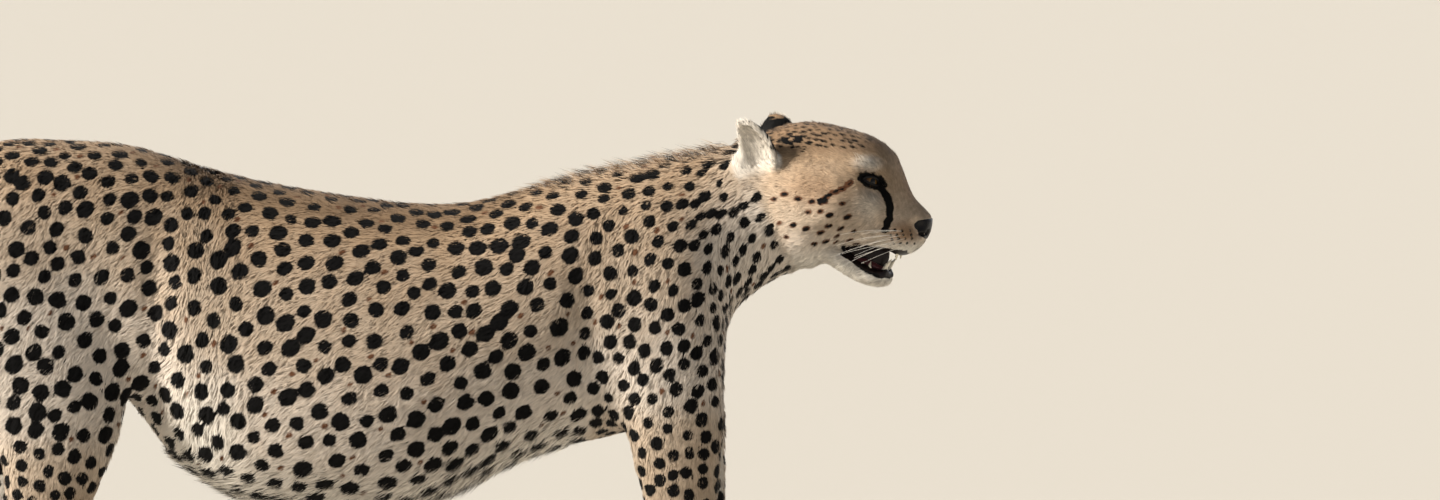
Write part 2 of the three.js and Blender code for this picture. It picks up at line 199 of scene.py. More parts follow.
# ======== Camera and light ========
VIEW_TARGET = Vector((0.473, 0.0, 0.671))
VIEW_DISTANCE = 13.2
VIEW_RISE = math.radians(2.3)

camera_data = bpy.data.cameras.new("camera")
camera_data.lens = 300
camera_data.sensor_width = 36
camera_data.clip_end = 200
camera = bpy.data.objects.new("camera", camera_data)
back_along = Vector((0, -math.cos(VIEW_RISE), math.sin(VIEW_RISE)))
camera.location = VIEW_TARGET + back_along * VIEW_DISTANCE
camera.rotation_euler = (-back_along).to_track_quat("-Z", "Y").to_euler()
bpy.context.scene.collection.objects.link(camera)
bpy.context.scene.camera = camera


def lamp(name, kind, place, target, power, colour, **form):
    """A lamp aimed at a target; form gives its size or the angle that its light spreads over."""
    data = bpy.data.lights.new(name, kind)
    data.energy = power
    data.color = linear(colour)[:3]
    for key, value in form.items():
        setattr(data, key, value)
    piece = bpy.data.objects.new(name, data)
    piece.location = place
    piece.rotation_euler = (Vector(target) - Vector(place)).to_track_quat("-Z", "Y").to_euler()
    bpy.context.scene.collection.objects.link(piece)


# Even light from far off gives the form, a weak wide one lifts the far side, and a soft
# box softens the near one.
ORIGIN = (0, 0, 0)
lamp("key_light", "SUN", (-4.8, -1.35, 2.5), ORIGIN, 7.4, "FFF8EE", angle=math.radians(14))
lamp("back_light", "SUN", (1.5, 4.5, 2.2), ORIGIN, 1.1, "F2F4FA", angle=math.radians(60))
lamp("fill_light", "AREA", (3.0, -5.0, 1.6), (0.3, 0, 0.5), 10, "DDE6F4", size=4.0)

world = bpy.data.worlds.new("studio")
bpy.context.scene.world = world
world.use_nodes = True
sky = world.node_tree.nodes["Background"].inputs
sky["Color"].default_value = linear("E3E8F0")
sky["Strength"].default_value = 0.26
bpy.context.scene.view_settings.view_transform = "Standard"


# ======== Skin: one mesh over all the flesh ========
SKIN_CELL = 2.0 * MM  # size of the skin's first, even mesh
BODY_KEPT = 0.13  # share of that mesh's triangles that is kept where tufts cover it
BODY_ROUGHNESS = 0.45 * MM  # of the body's mesh while it is thinned
TAIL_PATH = [
    (-458, 0, 720), (-512, 2, 620), (-552, 6, 505), (-580, 12, 385),
    (-602, 18, 270), (-634, 24, 175), (-690, 28, 124), (-752, 30, 128),
]
BACK_LINE = (
    (-446, -412, -364, -290, -219, -170, -116, -55, 10, 72, 130, 188, 250, 318, 372, 432),
    (740, 779, 793, 793, 789, 774, 758, 744, 734, 725, 722, 733, 753, 770, 778, 790),
)
BELLY_LINE = (
    (-440, -404, -352, -282, -216, -178, -128, -65, 5, 74, 130, 182, 242, 312, 375, 418),
    (630, 570, 545, 545, 498, 446, 405, 383, 375, 379, 394, 425, 446, 464, 480, 505),
)


def joined_flesh(names):
    """One mesh of the named CAD solids, with their doubles merged."""
    bm = bmesh.new()
    for name in names:
        part = bmesh.new()
        part.from_mesh(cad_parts[name].data)
        bmesh.ops.remove_doubles(part, verts=part.verts, dist=1e-6)
        mesh = bpy.data.meshes.new("part")
        part.to_mesh(mesh)
        part.free()
        bm.from_mesh(mesh)
        bpy.data.meshes.remove(mesh)
    return object_from(bm, "flesh")


def with_modifier(piece, kind, settings):
    """The mesh of the piece after one modifier."""
    modifier = piece.modifiers.new("shape", kind)
    for name, value in settings.items():
        setattr(modifier, name, value)
    made = bpy.data.meshes.new_from_object(
        piece.evaluated_get(bpy.context.evaluated_depsgraph_get()))
    piece.modifiers.clear()
    old = piece.data
    piece.data = made
    bpy.data.meshes.remove(old)
    return made


def edges_of(mesh):
    return array_of(mesh.edges, "vertices", 2, np.int32)


def spread(values, edges, rounds, amount):
    """Evens the values out between neighbours; amount may differ from point to point."""
    count = len(values)
    degree = np.bincount(edges.ravel(), minlength=count).astype(float)
    for _ in range(rounds):
        total = np.empty_like(values)
        for axis in range(values.shape[1]):
            column = values[:, axis]
            total[:, axis] = (
                np.bincount(edges[:, 0], column[edges[:, 1]], count)
                + np.bincount(edges[:, 1], column[edges[:, 0]], count)
            )
        values = values + 0.9 * amount * (total / degree[:, None] - values)
    return values


def relaxed(points, edges, rounds, amount):
    """Smooths the form and gives back what that shrinks it by."""
    amount = np.broadcast_to(amount, len(points))[:, None]
    smooth = spread(points, edges, rounds, amount)
    return smooth + spread(points - smooth, edges, rounds, amount)


def head_share(q):
    """1 in the head and 0 behind it, from drawing millimetres."""
    return soft(((q[:, 0] - 442) * 178 + (q[:, 2] - 806) * 70) / 191.3, -8, 16)


def near(points, centre, radii):
    """1 at the centre, falling softly to 0 at the radii."""
    d = np.linalg.norm((points - np.asarray(centre, float)) / np.asarray(radii, float), axis=1)
    return soft(1 - d, 0, 1)


def mirrored(places):
    """The places with both sides laid on the left one."""
    return places * np.array([1, 0, 1]) + np.abs(places) * np.array([0, 1, 0])


def pull(h, centre, radii, move):
    """Moves a soft round patch of the head, on both sides alike. All in the head's frame."""
    weight = near(mirrored(h), centre, radii)[:, None]
    side = np.where(h[:, 1] < 0, -1.0, 1.0)
    way = np.broadcast_to(np.asarray(move, float), h.shape).copy()
    way[:, 1] *= side
    return h + weight * way


def finer(piece, chosen):
    """Halves the edges whose two ends are both chosen."""
    bm = bmesh.new()
    bm.from_mesh(piece.data)
    bm.verts.ensure_lookup_table()
    flags = chosen(drawn(coordinates(piece.data)))
    picked = [e for e in bm.edges if flags[e.verts[0].index] and flags[e.verts[1].index]]
    bmesh.ops.subdivide_edges(bm, edges=picked, cuts=1)
    bmesh.ops.triangulate(bm, faces=[f for f in bm.faces if len(f.verts) > 3])
    bm.to_mesh(piece.data)
    bm.free()


# An even mesh over everything, smoothed lightly. The sockets are filled by the eyes.
skin = joined_flesh(FLESH + ["eye_right", "eye_left"])
skin.name = "skin"
with_modifier(skin, "REMESH", {"mode": "VOXEL", "voxel_size": SKIN_CELL, "adaptivity": 0})
points = coordinates(skin.data)
q = drawn(points)
m = mirrored(in_head(q))
by_ears = np.maximum(*(near(q, foot, (44, 36, 52)) for foot in ((476, -59, 795), (483, 58, 797))))
calm = 1 - 0.8 * soft(by_ears, 0.05, 0.4)
calm *= 1 - 0.6 * soft(near(m, (600, 10, 664), (60, 50, 26)), 0.0, 0.3)  # the lips
calm *= np.where(q[:, 2] < 60, 0.6, 1.0)  # the paws
edges = edges_of(skin.data)
points = relaxed(points, edges, rounds=20, amount=calm)
# The CAD's canines are smoothed away; the teeth are pieces of their own.
by_teeth = np.maximum(
    near(m, (616, 12, 654), (13, 16, 20)), near(m, (628, 14, 672), (14, 18, 16)))
points = spread(points, edges, rounds=16, amount=soft(by_teeth, 0.05, 0.3)[:, None])
set_coordinates(skin.data, points)

# The head keeps that fine mesh; elsewhere it is thinned, as the coat covers it.
keep = skin.vertex_groups.new(name="keep")
fine = (head_share(q) > 0.5) | ((q[:, 2] < 40) & (q[:, 0] > -600))
keep.add(np.flatnonzero(fine).tolist(), 1.0, "REPLACE")
# A little roughness keeps the thinned triangles even on flat ground; it is smoothed out below.
rough = random_numbers.normal(size=points.shape) * BODY_ROUGHNESS
set_coordinates(skin.data, points + rough * ~fine[:, None])
with_modifier(skin, "DECIMATE", {
    "decimate_type": "COLLAPSE", "ratio": BODY_KEPT, "vertex_group": "keep",
    "invert_vertex_group": True, "vertex_group_factor": 20.0,
})
skin.vertex_groups.clear()
points = coordinates(skin.data)
q = drawn(points)
body = (1 - head_share(q)) * np.where(q[:, 2] < 75, 0.0, 1.0)
points = relaxed(points, edges_of(skin.data), rounds=14, amount=body)
set_coordinates(skin.data, points)


# ======== Sculpted head, and hollows of the body ========
# Where the head's mesh is made finer: round the eye, closer round it, nose and mouth.
for middle, reach in (
    (EYE_CENTRE + GAZE * 12, (30, 30, 26)), (EYE_CENTRE + GAZE * 14, (22, 22, 19)),
    ((664, 0, 697), (24, 30, 24)), ((604, 14, 664), (54, 44, 24)),
):
    finer(skin, lambda q: near(mirrored(in_head(q)), middle, reach) > 0)

EYE_LONG = unit(np.array([0.68, -0.73, -0.30]))  # along the lids, to the inner corner
EYE_LONG = unit(EYE_LONG - GAZE * (EYE_LONG @ GAZE) / (GAZE @ GAZE))
EYE_HIGH = np.cross(EYE_LONG, unit(GAZE))
LID_HALF = 11.5  # from the middle to a corner
LID_RISE = (4.2, 3.1)  # upper and lower lid, from the line between the corners
LID_LIFT = 2.3  # lid over the ball, before the coat's depth is taken off
SOCKET_SINK = 2.4  # skin under the ball, within the lids
LID_FADE = (4, 13)  # from the lids' edge, where their form passes into the face
EYE_REACH = 34  # from the ball's middle, past which nothing is formed round it


def lid_height(u):
    """Share of the lid's rise at the distance u from the middle, along the lid."""
    return np.clip(1 - (u / LID_HALF) ** 2, 0, 1) ** 0.75


def open_eye(h):
    """How far outside the opening of the lids a place in the head's frame is, in mm."""
    offset = mirrored(h) - EYE_CENTRE
    way = unit(offset)
    u = EYE_RADIUS * np.arcsin(np.clip(way @ EYE_LONG, -1, 1))
    v = EYE_RADIUS * np.arcsin(np.clip(way @ EYE_HIGH, -1, 1))
    high = np.where(v > 0, LID_RISE[0], LID_RISE[1]) * lid_height(u)
    past_lid, past_corner = np.abs(v) - high, np.abs(u) - LID_HALF
    square = np.maximum(past_lid, 0) ** 2 + np.maximum(past_corner, 0) ** 2
    outside = np.where(square > 0, np.sqrt(square), np.maximum(past_lid, past_corner))
    behind = way @ unit(GAZE) < 0.1
    return np.where(behind, 30.0, outside), np.linalg.norm(offset, axis=1)


# Soft patches of the head that are moved: centre, radii and move, in the head's frame.
HEAD_FORM = (
    ((588, 42, 766), (30, 22, 15), (4, 3, 2)),       # brow over the eye
    ((612, 40, 730), (18, 20, 18), (-2, -4, 0)),     # hollow below the inner corner
    ((604, 48, 706), (20, 18, 22), (0, -4, 0)),      # behind the whisker pad
    ((630, 30, 690), (24, 18, 18), (2, 4.5, -1)),    # whisker pad
    ((560, 66, 712), (34, 20, 26), (0, 3.5, 0)),     # cheek
    ((636, 10, 745), (22, 16, 26), (0, 2, 0)),       # bridge
    ((598, 22, 640), (26, 18, 16), (2, 2, -1)),      # chin
    ((614, 16, 646), (16, 12, 9), (1, 1, 4)),        # lower lip beside the tooth
    ((651, 25, 699), (17, 15, 15), (0, -6, 0)),      # side of the nose
    ((661, 9.5, 692), (9, 5, 5), (-9, 1, 1)),        # nostril
    ((655, 17, 690), (9, 5, 3.6), (-4, -3.5, 0)),    # slit behind the nostril
    ((659, 0, 683), (10, 2.6, 14), (-2.6, 0, 0)),    # groove below the nose
)
# Hollows on both sides of the body: depth, centre and radii.
BODY_HOLLOWS = (
    (8, (-186, 90, 620), (28, 50, 140)),    # before the thigh
    (7, (-190, 86, 510), (26, 45, 80)),     # groin
    (7, (280, 100, 590), (28, 50, 110)),    # behind the shoulder
)

points = coordinates(skin.data)
q = drawn(points)
h = in_head(q)
before = h.copy()
for middle, reach, move in HEAD_FORM:
    h = pull(h, middle, reach, move)
outside, far = open_eye(h)
near_eye = (1 - soft(outside, *LID_FADE)) * (far < EYE_REACH)
target = np.where(outside < 0, EYE_RADIUS - SOCKET_SINK, np.maximum(far, EYE_RADIUS + LID_LIFT))
pushed = far + near_eye * (target - far)
centre = EYE_CENTRE * np.where(h[:, 1:2] < 0, [1, -1, 1], [1, 1, 1])
h = np.where((near_eye > 0)[:, None], centre + (h - centre) * (pushed / far)[:, None], h)

moved = (from_head(h) - from_head(before)) * head_share(q)[:, None]
hollows = sum(depth * near(mirrored(q), middle, reach) for depth, middle, reach in BODY_HOLLOWS)
moved[:, 1] -= np.sign(q[:, 1]) * hollows
set_coordinates(skin.data, centred(q + moved))


# ======== How the coat lies: length, slope and way of the hair over the body ========
# The ears' feet, the ways to their tips and the ways their hollows face, before the head turns.
EARS = (
    ((476, -59, 775), (-0.27, -0.31, 0.9), (-0.2, -1, 0.15)),
    ((483, 58, 777), (-0.17, 0.31, 0.92), (0, 1, 0.15)),
)


class Places:
    """Where on the body each of many places is, in shares from 0 to 1."""

    def __init__(self, q, n):
        x, y, z = q.T
        self.q, self.n = q, n
        self.x, self.y, self.z = x, y, z
        self.out = n[:, 1] * np.sign(y)  # 1 on the outer side, -1 on the inner one
        self.local = in_head(q)
        self.m = mirrored(self.local)
        self.head = head_share(q)
        far, self.tail_along = to_path(q, TAIL_PATH)
        self.tail = (1 - soft(far, 42, 60)) * soft(-x, 452, 480)
        trunk_top = np.interp(x, *BACK_LINE)
        trunk_low = np.interp(x, *BELLY_LINE)
        self.height = (z - trunk_low) / (trunk_top - trunk_low)
        self.fore = soft(x, 262, 300) * (1 - soft(z, 440, 540)) * (1 - self.head)
        self.hind = soft(-x, 190, 225) * (1 - soft(z, 400, 500)) * (1 - self.tail)
        self.leg = np.maximum(self.fore, self.hind)
        self.paw = (1 - soft(z, 45, 85)) * (1 - self.tail)
        self.neck = soft(x + (z - 700) * 0.35, 345, 420) * (1 - self.head) * soft(z, 540, 600)
        self.belly = (1 - soft(self.height, 0.02, 0.22)) * soft(x, -190, -150)
        self.belly *= (1 - soft(x, 285, 340)) * (1 - self.leg)
        self.crest = np.exp(-(y / 26) ** 2) * soft(n[:, 2], 0.2, 0.7) * soft(x, 170, 290)
        self.crest *= 1 - 0.8 * self.head
        self.elbow = near(mirrored(q), (270, 80, 440), (85, 80, 75))
        self.fold = near(mirrored(q), (-140, 80, 474), (68, 80, 106))  # from belly to thigh
        self.muzzle = self.head * soft(self.m[:, 0], 606, 640)
        self.ears = []
        self.ear_inside = np.zeros(len(q))
        facing = turned(n, -HEAD_YAW)
        for foot, tip, opening in EARS:
            up = unit(np.array(tip, float))
            across = unit(np.cross(up, opening))
            ahead = np.cross(across, up)
            offset = self.local - foot
            far = np.sqrt((offset @ ahead / 24) ** 2 + (offset @ across / 31) ** 2
                          + (offset @ up / 56) ** 2)
            share = (1 - soft(far, 0.8, 1.0)) * soft(offset @ up, -24, -8)
            self.ears.append(share)
            inside = soft(facing @ ahead, -0.1, 0.3)
            self.ear_inside = np.maximum(self.ear_inside, share * inside)
        self.ear = np.maximum(*self.ears)


def blended(start, *layers):
    """The start value with each (share, value) laid over it; a value may be rows of vectors."""
    value = start
    for share, over in layers:
        share = share[:, None] if np.ndim(over) > np.ndim(share) else share
        value = value + share * (over - value)
    return value


def hair_length(at):
    """Length of a tuft, in mm."""
    return blended(
        11.5,
        (at.neck, 13), (at.belly, 23), (at.crest, 26), (at.elbow, 26), (at.fold, 19),
        (at.leg, 7.5), (at.paw, 4.0),
        (at.tail, blended(13, (soft(at.tail_along, 0.82, 1.0), 24))),
        (at.head, blended(6.6, (soft(-at.m[:, 0], -520, -490), 9.5))),
        (at.muzzle, 2.4),
        (at.head * near(at.m, (600, 16, 634), (40, 36, 20)), 6.0),
        (at.ear, 4.0), (at.ear_inside, 8.0),
    )


def hair_slope(at):
    """Angle between a tuft and the skin, in degrees."""
    return blended(
        15.0,
        (at.neck, 15), (at.belly, 24), (at.crest, 43), (at.elbow, 30), (at.leg, 13),
        (at.tail, blended(20, (soft(at.tail_along, 0.82, 1.0), 34))),
        (at.head, 20), (at.muzzle, 12), (at.ear, 12), (at.ear_inside, 12),
    )


def hair_depth(at):
    """How far the skin lies below the tips of the coat, in mm."""
    depth = hair_length(at) * np.sin(np.radians(hair_slope(at))) * 0.85
    return blended(depth, (at.ear, 0.6), (at.paw, 1.0))


def hair_way(at):
    """Unit vectors along the hair, on the skin."""
    one = np.ones(len(at.q))[:, None]

    def way(x, y, z):
        return unit(np.array([x, y, z], float)) * one

    high = soft(at.height, 0.7, 1.0)[:, None]
    flow = way(-0.8, 0, -0.6) * (1 - high) + way(-0.97, 0, -0.25) * high
    middle = np.exp(-((at.x + 135) / 45) ** 2)
    flow = blended(
        flow,
        (middle, way(-0.25, 0, -1)),
        (soft(-at.x, 190, 260), way(-0.62, 0, -0.78)),
        (soft(at.x, 230, 300) * (1 - at.neck) * soft(-high[:, 0], -0.8, -0.2),
         way(-0.45, 0, -0.88)),
        (at.neck, way(-0.76, 0, -0.62)),
        (soft(at.x, 395, 430) * (1 - soft(at.z, 660, 720)), way(-0.2, 0, -1)),
        (at.belly, way(-0.85, 0, -0.42)),
        (at.leg, way(-0.14, 0, -1)),
        (at.paw, way(0.55, 0, -0.8)),
    )
    steps = unit(np.diff(np.array(TAIL_PATH, float), axis=0))
    shares = np.linspace(0.07, 0.93, len(steps))
    tail_way = np.stack([np.interp(at.tail_along, shares, steps[:, i]) for i in range(3)], 1)
    flow = blended(flow, (at.tail, tail_way))
    m = at.m
    low = (1 - soft(m[:, 2], 690, 760))[:, None]
    face = way(-1, 0, 0.1) * (1 - low) + way(-0.9, 0, -0.42) * low
    front = (soft(m[:, 0], 590, 630) * soft(m[:, 2], 705, 735))[:, None]
    face = face * (1 - front) + way(-0.55, 0, 0.85) * front
    flow = blended(flow, (at.head, turned(face, HEAD_YAW)))
    for share, (_, tip, _) in zip(at.ears, EARS):
        tip_way = turned(unit(np.array(tip, float)), HEAD_YAW)
        flow = blended(flow, (share, tip_way * one))
    flow = flow - at.n * np.sum(flow * at.n, axis=1, keepdims=True)
    weak = np.linalg.norm(flow, axis=1) < 0.05
    flow[weak] += np.cross(at.n[weak], [0, 1, 0])
    return unit(flow)


points = coordinates(skin.data)
normals = vertex_normals(skin.data)
at = Places(drawn(points), normals)
set_coordinates(skin.data, points - normals * hair_depth(at)[:, None] * MM)
skin.data.shade_smooth()


# ======== Markings: the same for the skin and for the tufts that stand on it ========
def spot_radius(at):
    """Radius of a spot, in mm."""
    return blended(
        9.3,
        (soft(at.height, 0.7, 1.0), 8.2),
        (soft(at.x, 255, 310), 7.7),
        (at.neck, 5.9),
        (at.leg, 6.7),
        (soft(-at.z, -330, -200) * at.leg, 5.2),
        (at.paw, 2.6),
        (at.tail, 8.5),
    )


def spot_room(at):
    """Least distance between spots, in mm."""
    return blended(
        21.4,
        (soft(-at.x, 230, 300), 20.0),
        (soft(at.height, 0.6, 0.9), 18.8),
        (soft(at.x, 255, 310), 17.9),
        (at.neck, 13.8),
        (at.leg, 14.8),
        (soft(-at.z, -330, -200) * at.leg, 12.0),
        (at.paw, 9.0),
        (at.tail, 21.0),
    )


class Surface:
    """The skin as arrays, to pick places on it."""

    def __init__(self, mesh):
        self.points = coordinates(mesh)
        self.normals = vertex_normals(mesh)
        self.triangles = array_of(mesh.loops, "vertex_index", 1, np.int32).reshape(-1, 3)
        self.area = array_of(mesh.polygons, "area", 1)[:, 0]

    def picked(self, count, crowding, seed):
        """Evenly strewn places: their triangles and the shares of the corners."""
        numbers = np.random.default_rng(seed)
        weight = np.cumsum(self.area * crowding[self.triangles].mean(axis=1))
        steps = (np.arange(count) + numbers.random(count)) / count * weight[-1]
        rows = np.minimum(np.searchsorted(weight, steps), len(weight) - 1)
        root = np.sqrt(numbers.random(count))
        along = numbers.random(count)
        shares = np.stack([1 - root, root * (1 - along), root * along], axis=1)
        return rows, shares

    def between(self, values, rows, shares):
        """Values of the vertices, taken at the picked places."""
        return np.einsum("ij,ijk->ik", shares, values[self.triangles[rows]])


STREWN_CELL = 26.0  # no less than the widest room between marks, in mm


def strewn(q, room, seed):
    """Picks places that keep the given room between them, most of the time."""
    numbers = np.random.default_rng(seed)
    loose = room * numbers.choice([0.85, 1.0, 1.1], len(q), p=[0.04, 0.6, 0.36])
    taken, chosen = {}, []
    for i in numbers.permutation(len(q)):
        place = q[i]
        x, y, z = (place // STREWN_CELL).astype(int)
        others = (other for dx, dy, dz in product((-1, 0, 1), repeat=3)
                  for other in taken.get((x + dx, y + dy, z + dz), ()))
        if all((place - other) @ (place - other) >= loose[i] ** 2 for other in others):
            taken.setdefault((x, y, z), []).append(place)
            chosen.append(i)
    return np.array(chosen)


def tree_of(places):
    tree = KDTree(len(places))
    for i, place in enumerate(places):
        tree.insert(place, i)
    tree.balance()
    return tree


def evened(q, rows, rounds):
    """Moves each picked place to the middle of the ground that lies nearest to it."""
    ground = tree_of(q)
    for _ in range(rounds):
        owners = tree_of(q[rows])
        owner = np.array([owners.find(place)[1] for place in q])
        share = np.maximum(np.bincount(owner, minlength=len(rows)), 1)
        middle = np.stack([np.bincount(owner, q[:, i], len(rows)) / share for i in range(3)], 1)
        rows = np.array([ground.find(place)[1] for place in middle])
    return rows


NO_MARK = -8.0  # depth where no mark is near, in mm
PLACES_AT_ONCE = 2500


class Spots:
    """Round marks, drawn out along the hair."""

    def __init__(self, at, rows, radius, stretch, seed):
        numbers = np.random.default_rng(seed)
        self.centre = at.q[rows]
        self.way = hair_way(at)[rows]
        self.radius = radius[rows] * numbers.uniform(0.8, 1.12, len(rows))
        stretch = np.broadcast_to(stretch, len(at.q))[rows]
        self.stretch = stretch * numbers.uniform(0.94, 1.12, len(rows))
        self.order = np.argsort(self.centre[:, 0])
        self.reach = float(self.radius.max() * 1.5 - NO_MARK)

    def depth(self, q):
        """How far inside the nearest mark each place is, in mm; outside it is negative."""
        best = np.full(len(q), NO_MARK)
        sorted_x = self.centre[self.order, 0]
        rows = np.argsort(q[:, 0])
        for part in np.array_split(rows, max(1, len(q) // PLACES_AT_ONCE)):
            low, high = q[part[0], 0] - self.reach, q[part[-1], 0] + self.reach
            near_by = self.order[np.searchsorted(sorted_x, low):np.searchsorted(sorted_x, high)]
            if not len(near_by):
                continue
            gap = q[part][:, None, :] - self.centre[near_by][None]
            along = np.einsum("ijk,jk->ij", gap, self.way[near_by])
            square = np.einsum("ijk,ijk->ij", gap, gap)
            stretch = self.stretch[near_by]
            across = np.maximum(square - along ** 2, 0)
            distance = np.sqrt((along / stretch) ** 2 + across * stretch)
            best[part] = np.max(self.radius[near_by] - distance, axis=1)
        return np.maximum(best, NO_MARK)


surface = Surface(skin.data)
points, normals = surface.points, surface.normals
at = Places(drawn(points), normals)
bare = np.maximum.reduce([
    soft(at.head, 0.3, 0.6), at.ear, soft(at.tail_along * at.tail, 0.5, 0.56)])
PLACES_TO_TRY = 60000
rows, shares = surface.picked(PLACES_TO_TRY, (bare < 0.5) * 1.0, seed=10)
trial_places = Places(
    drawn(surface.between(points, rows, shares)), unit(surface.between(normals, rows, shares)))
body_rows = strewn(trial_places.q, spot_room(trial_places), seed=11)
body_rows = evened(trial_places.q, body_rows, rounds=2)
spot_stretch = blended(1.03, (trial_places.neck, 1.22), (trial_places.belly, 1.15))
body_spots = Spots(trial_places, body_rows, spot_radius(trial_places), spot_stretch, seed=12)

def marks_on(places, zone, room, radius, stretch, seed, kept=1.0):
    """Marks strewn over the rows of a zone, of which the given share is kept."""
    inside = Places(places.q[zone], places.n[zone])
    rows = strewn(inside.q, np.broadcast_to(room, len(zone)), seed)
    if kept < 1:
        rows = rows[random_numbers.random(len(rows)) < kept]
    return Spots(inside, rows, np.broadcast_to(radius, len(zone)), stretch, seed + 1)


# Small brown dots in the room between the spots.
room_left = np.flatnonzero(
    (body_spots.depth(trial_places.q) < -4.5)
    & (trial_places.leg < 0.3) & (trial_places.tail < 0.3))
brown_dots = marks_on(
    trial_places, room_left, room=25.0, radius=3.1, stretch=1.15, seed=13, kept=0.42)

# Flecks on the crown, which grow and part towards the nape, and on the cheeks.
m = at.m
nape = 1 - soft(m[:, 0], 446, 500)
crown = soft(m[:, 2] + 16 * nape, 778, 792) * (1 - soft(m[:, 0], 586, 604))
crown_zone = np.flatnonzero((at.head > 0.45) & (crown * (1 - at.ear) > 0.5))
crown_flecks = marks_on(
    at, crown_zone, room=6.8 + 5 * nape[crown_zone], radius=2.2 + 2 * nape[crown_zone],
    stretch=1.6, seed=15)
cheek_zone = np.flatnonzero(
    (at.head > 0.5) & (m[:, 0] > 496) & (m[:, 0] < 584) & (m[:, 1] > 30)
    & (m[:, 2] > 680) & (m[:, 2] < 734 - (m[:, 0] - 540) * 0.1))
cheek_flecks = marks_on(
    at, cheek_zone, room=11.5, radius=3.3, stretch=1.3, seed=17, kept=0.8)


def on_side(x, z, y=None):
    """The place on the outer side of the left half of the head, in the head's frame."""
    wanted = (at.head > 0.5) & (at.m[:, 1] > 3)
    gap = np.hypot(at.m[wanted, 0] - x, at.m[wanted, 2] - z)
    gap += -0.05 * at.m[wanted, 1] if y is None else 0.6 * np.abs(at.m[wanted, 1] - y)
    return at.m[wanted][np.argmin(gap)]


TEAR_LINE, EYE_STREAK, UPPER_LIP, LOWER_LIP = (
    [on_side(*place) for place in line] for line in (
        ((610, 745, 36), (616, 736, 34), (622, 722), (622, 708), (617, 696)),
        ((582, 748), (573, 741), (562, 736), (550, 727)),
        ((566, 677), (590, 678), (612, 673), (634, 669), (648, 674)),
        ((569, 676), (582, 660), (596, 650), (610, 645), (618, 648)),
    )
)
WHISKER_ROOTS = np.array([
    on_side(647 - place * 7 - row * 1.5, 681 + 4.6 * row)
    for row in range(4) for place in range(4)])
NOSE_HEIGHT = 695.5
# Roof and floor of the mouth on its middle line: places along X and their heights.
MOUTH_TOP = ((558, 585, 608, 636, 652), (685, 690, 688, 680, 680))
MOUTH_FLOOR = ((556, 581, 604, 622), (673, 650, 642, 644))


def nose_depth(m):
    """Positive on the nose leather, from places in the head's frame."""
    high = (m[:, 2] - NOSE_HEIGHT) / 12
    back = (665 - m[:, 0]) / (22.5 + 4.5 * high)
    wide = np.abs(m[:, 1]) / (25.5 + 8 * high)
    return 1 - np.maximum(back, 0) ** 2.6 - wide ** 4 - np.abs(high) ** 2.6


def in_mouth(at):
    """True on the lips' inner sides and in the mouth."""
    x, y, z = at.m.T
    top, floor = np.interp(x, *MOUTH_TOP), np.interp(x, *MOUTH_FLOOR)
    up = turned(at.n, -HEAD_YAW)[:, 2]
    cavity = (y < 23) & (z < top + 1.5) & (z > floor - 1.5) & (x > 556) & (x < 640)
    under_lip = (up < -0.75) & (z > 662) & (z < top + 6) & (x > 566) & (x < 640) & (y < 26)
    on_jaw = (up > 0.35) & (z < 670) & (z > floor - 4) & (x > 566) & (x < 621)
    return (at.head > 0.5) & (cavity | under_lip | on_jaw)


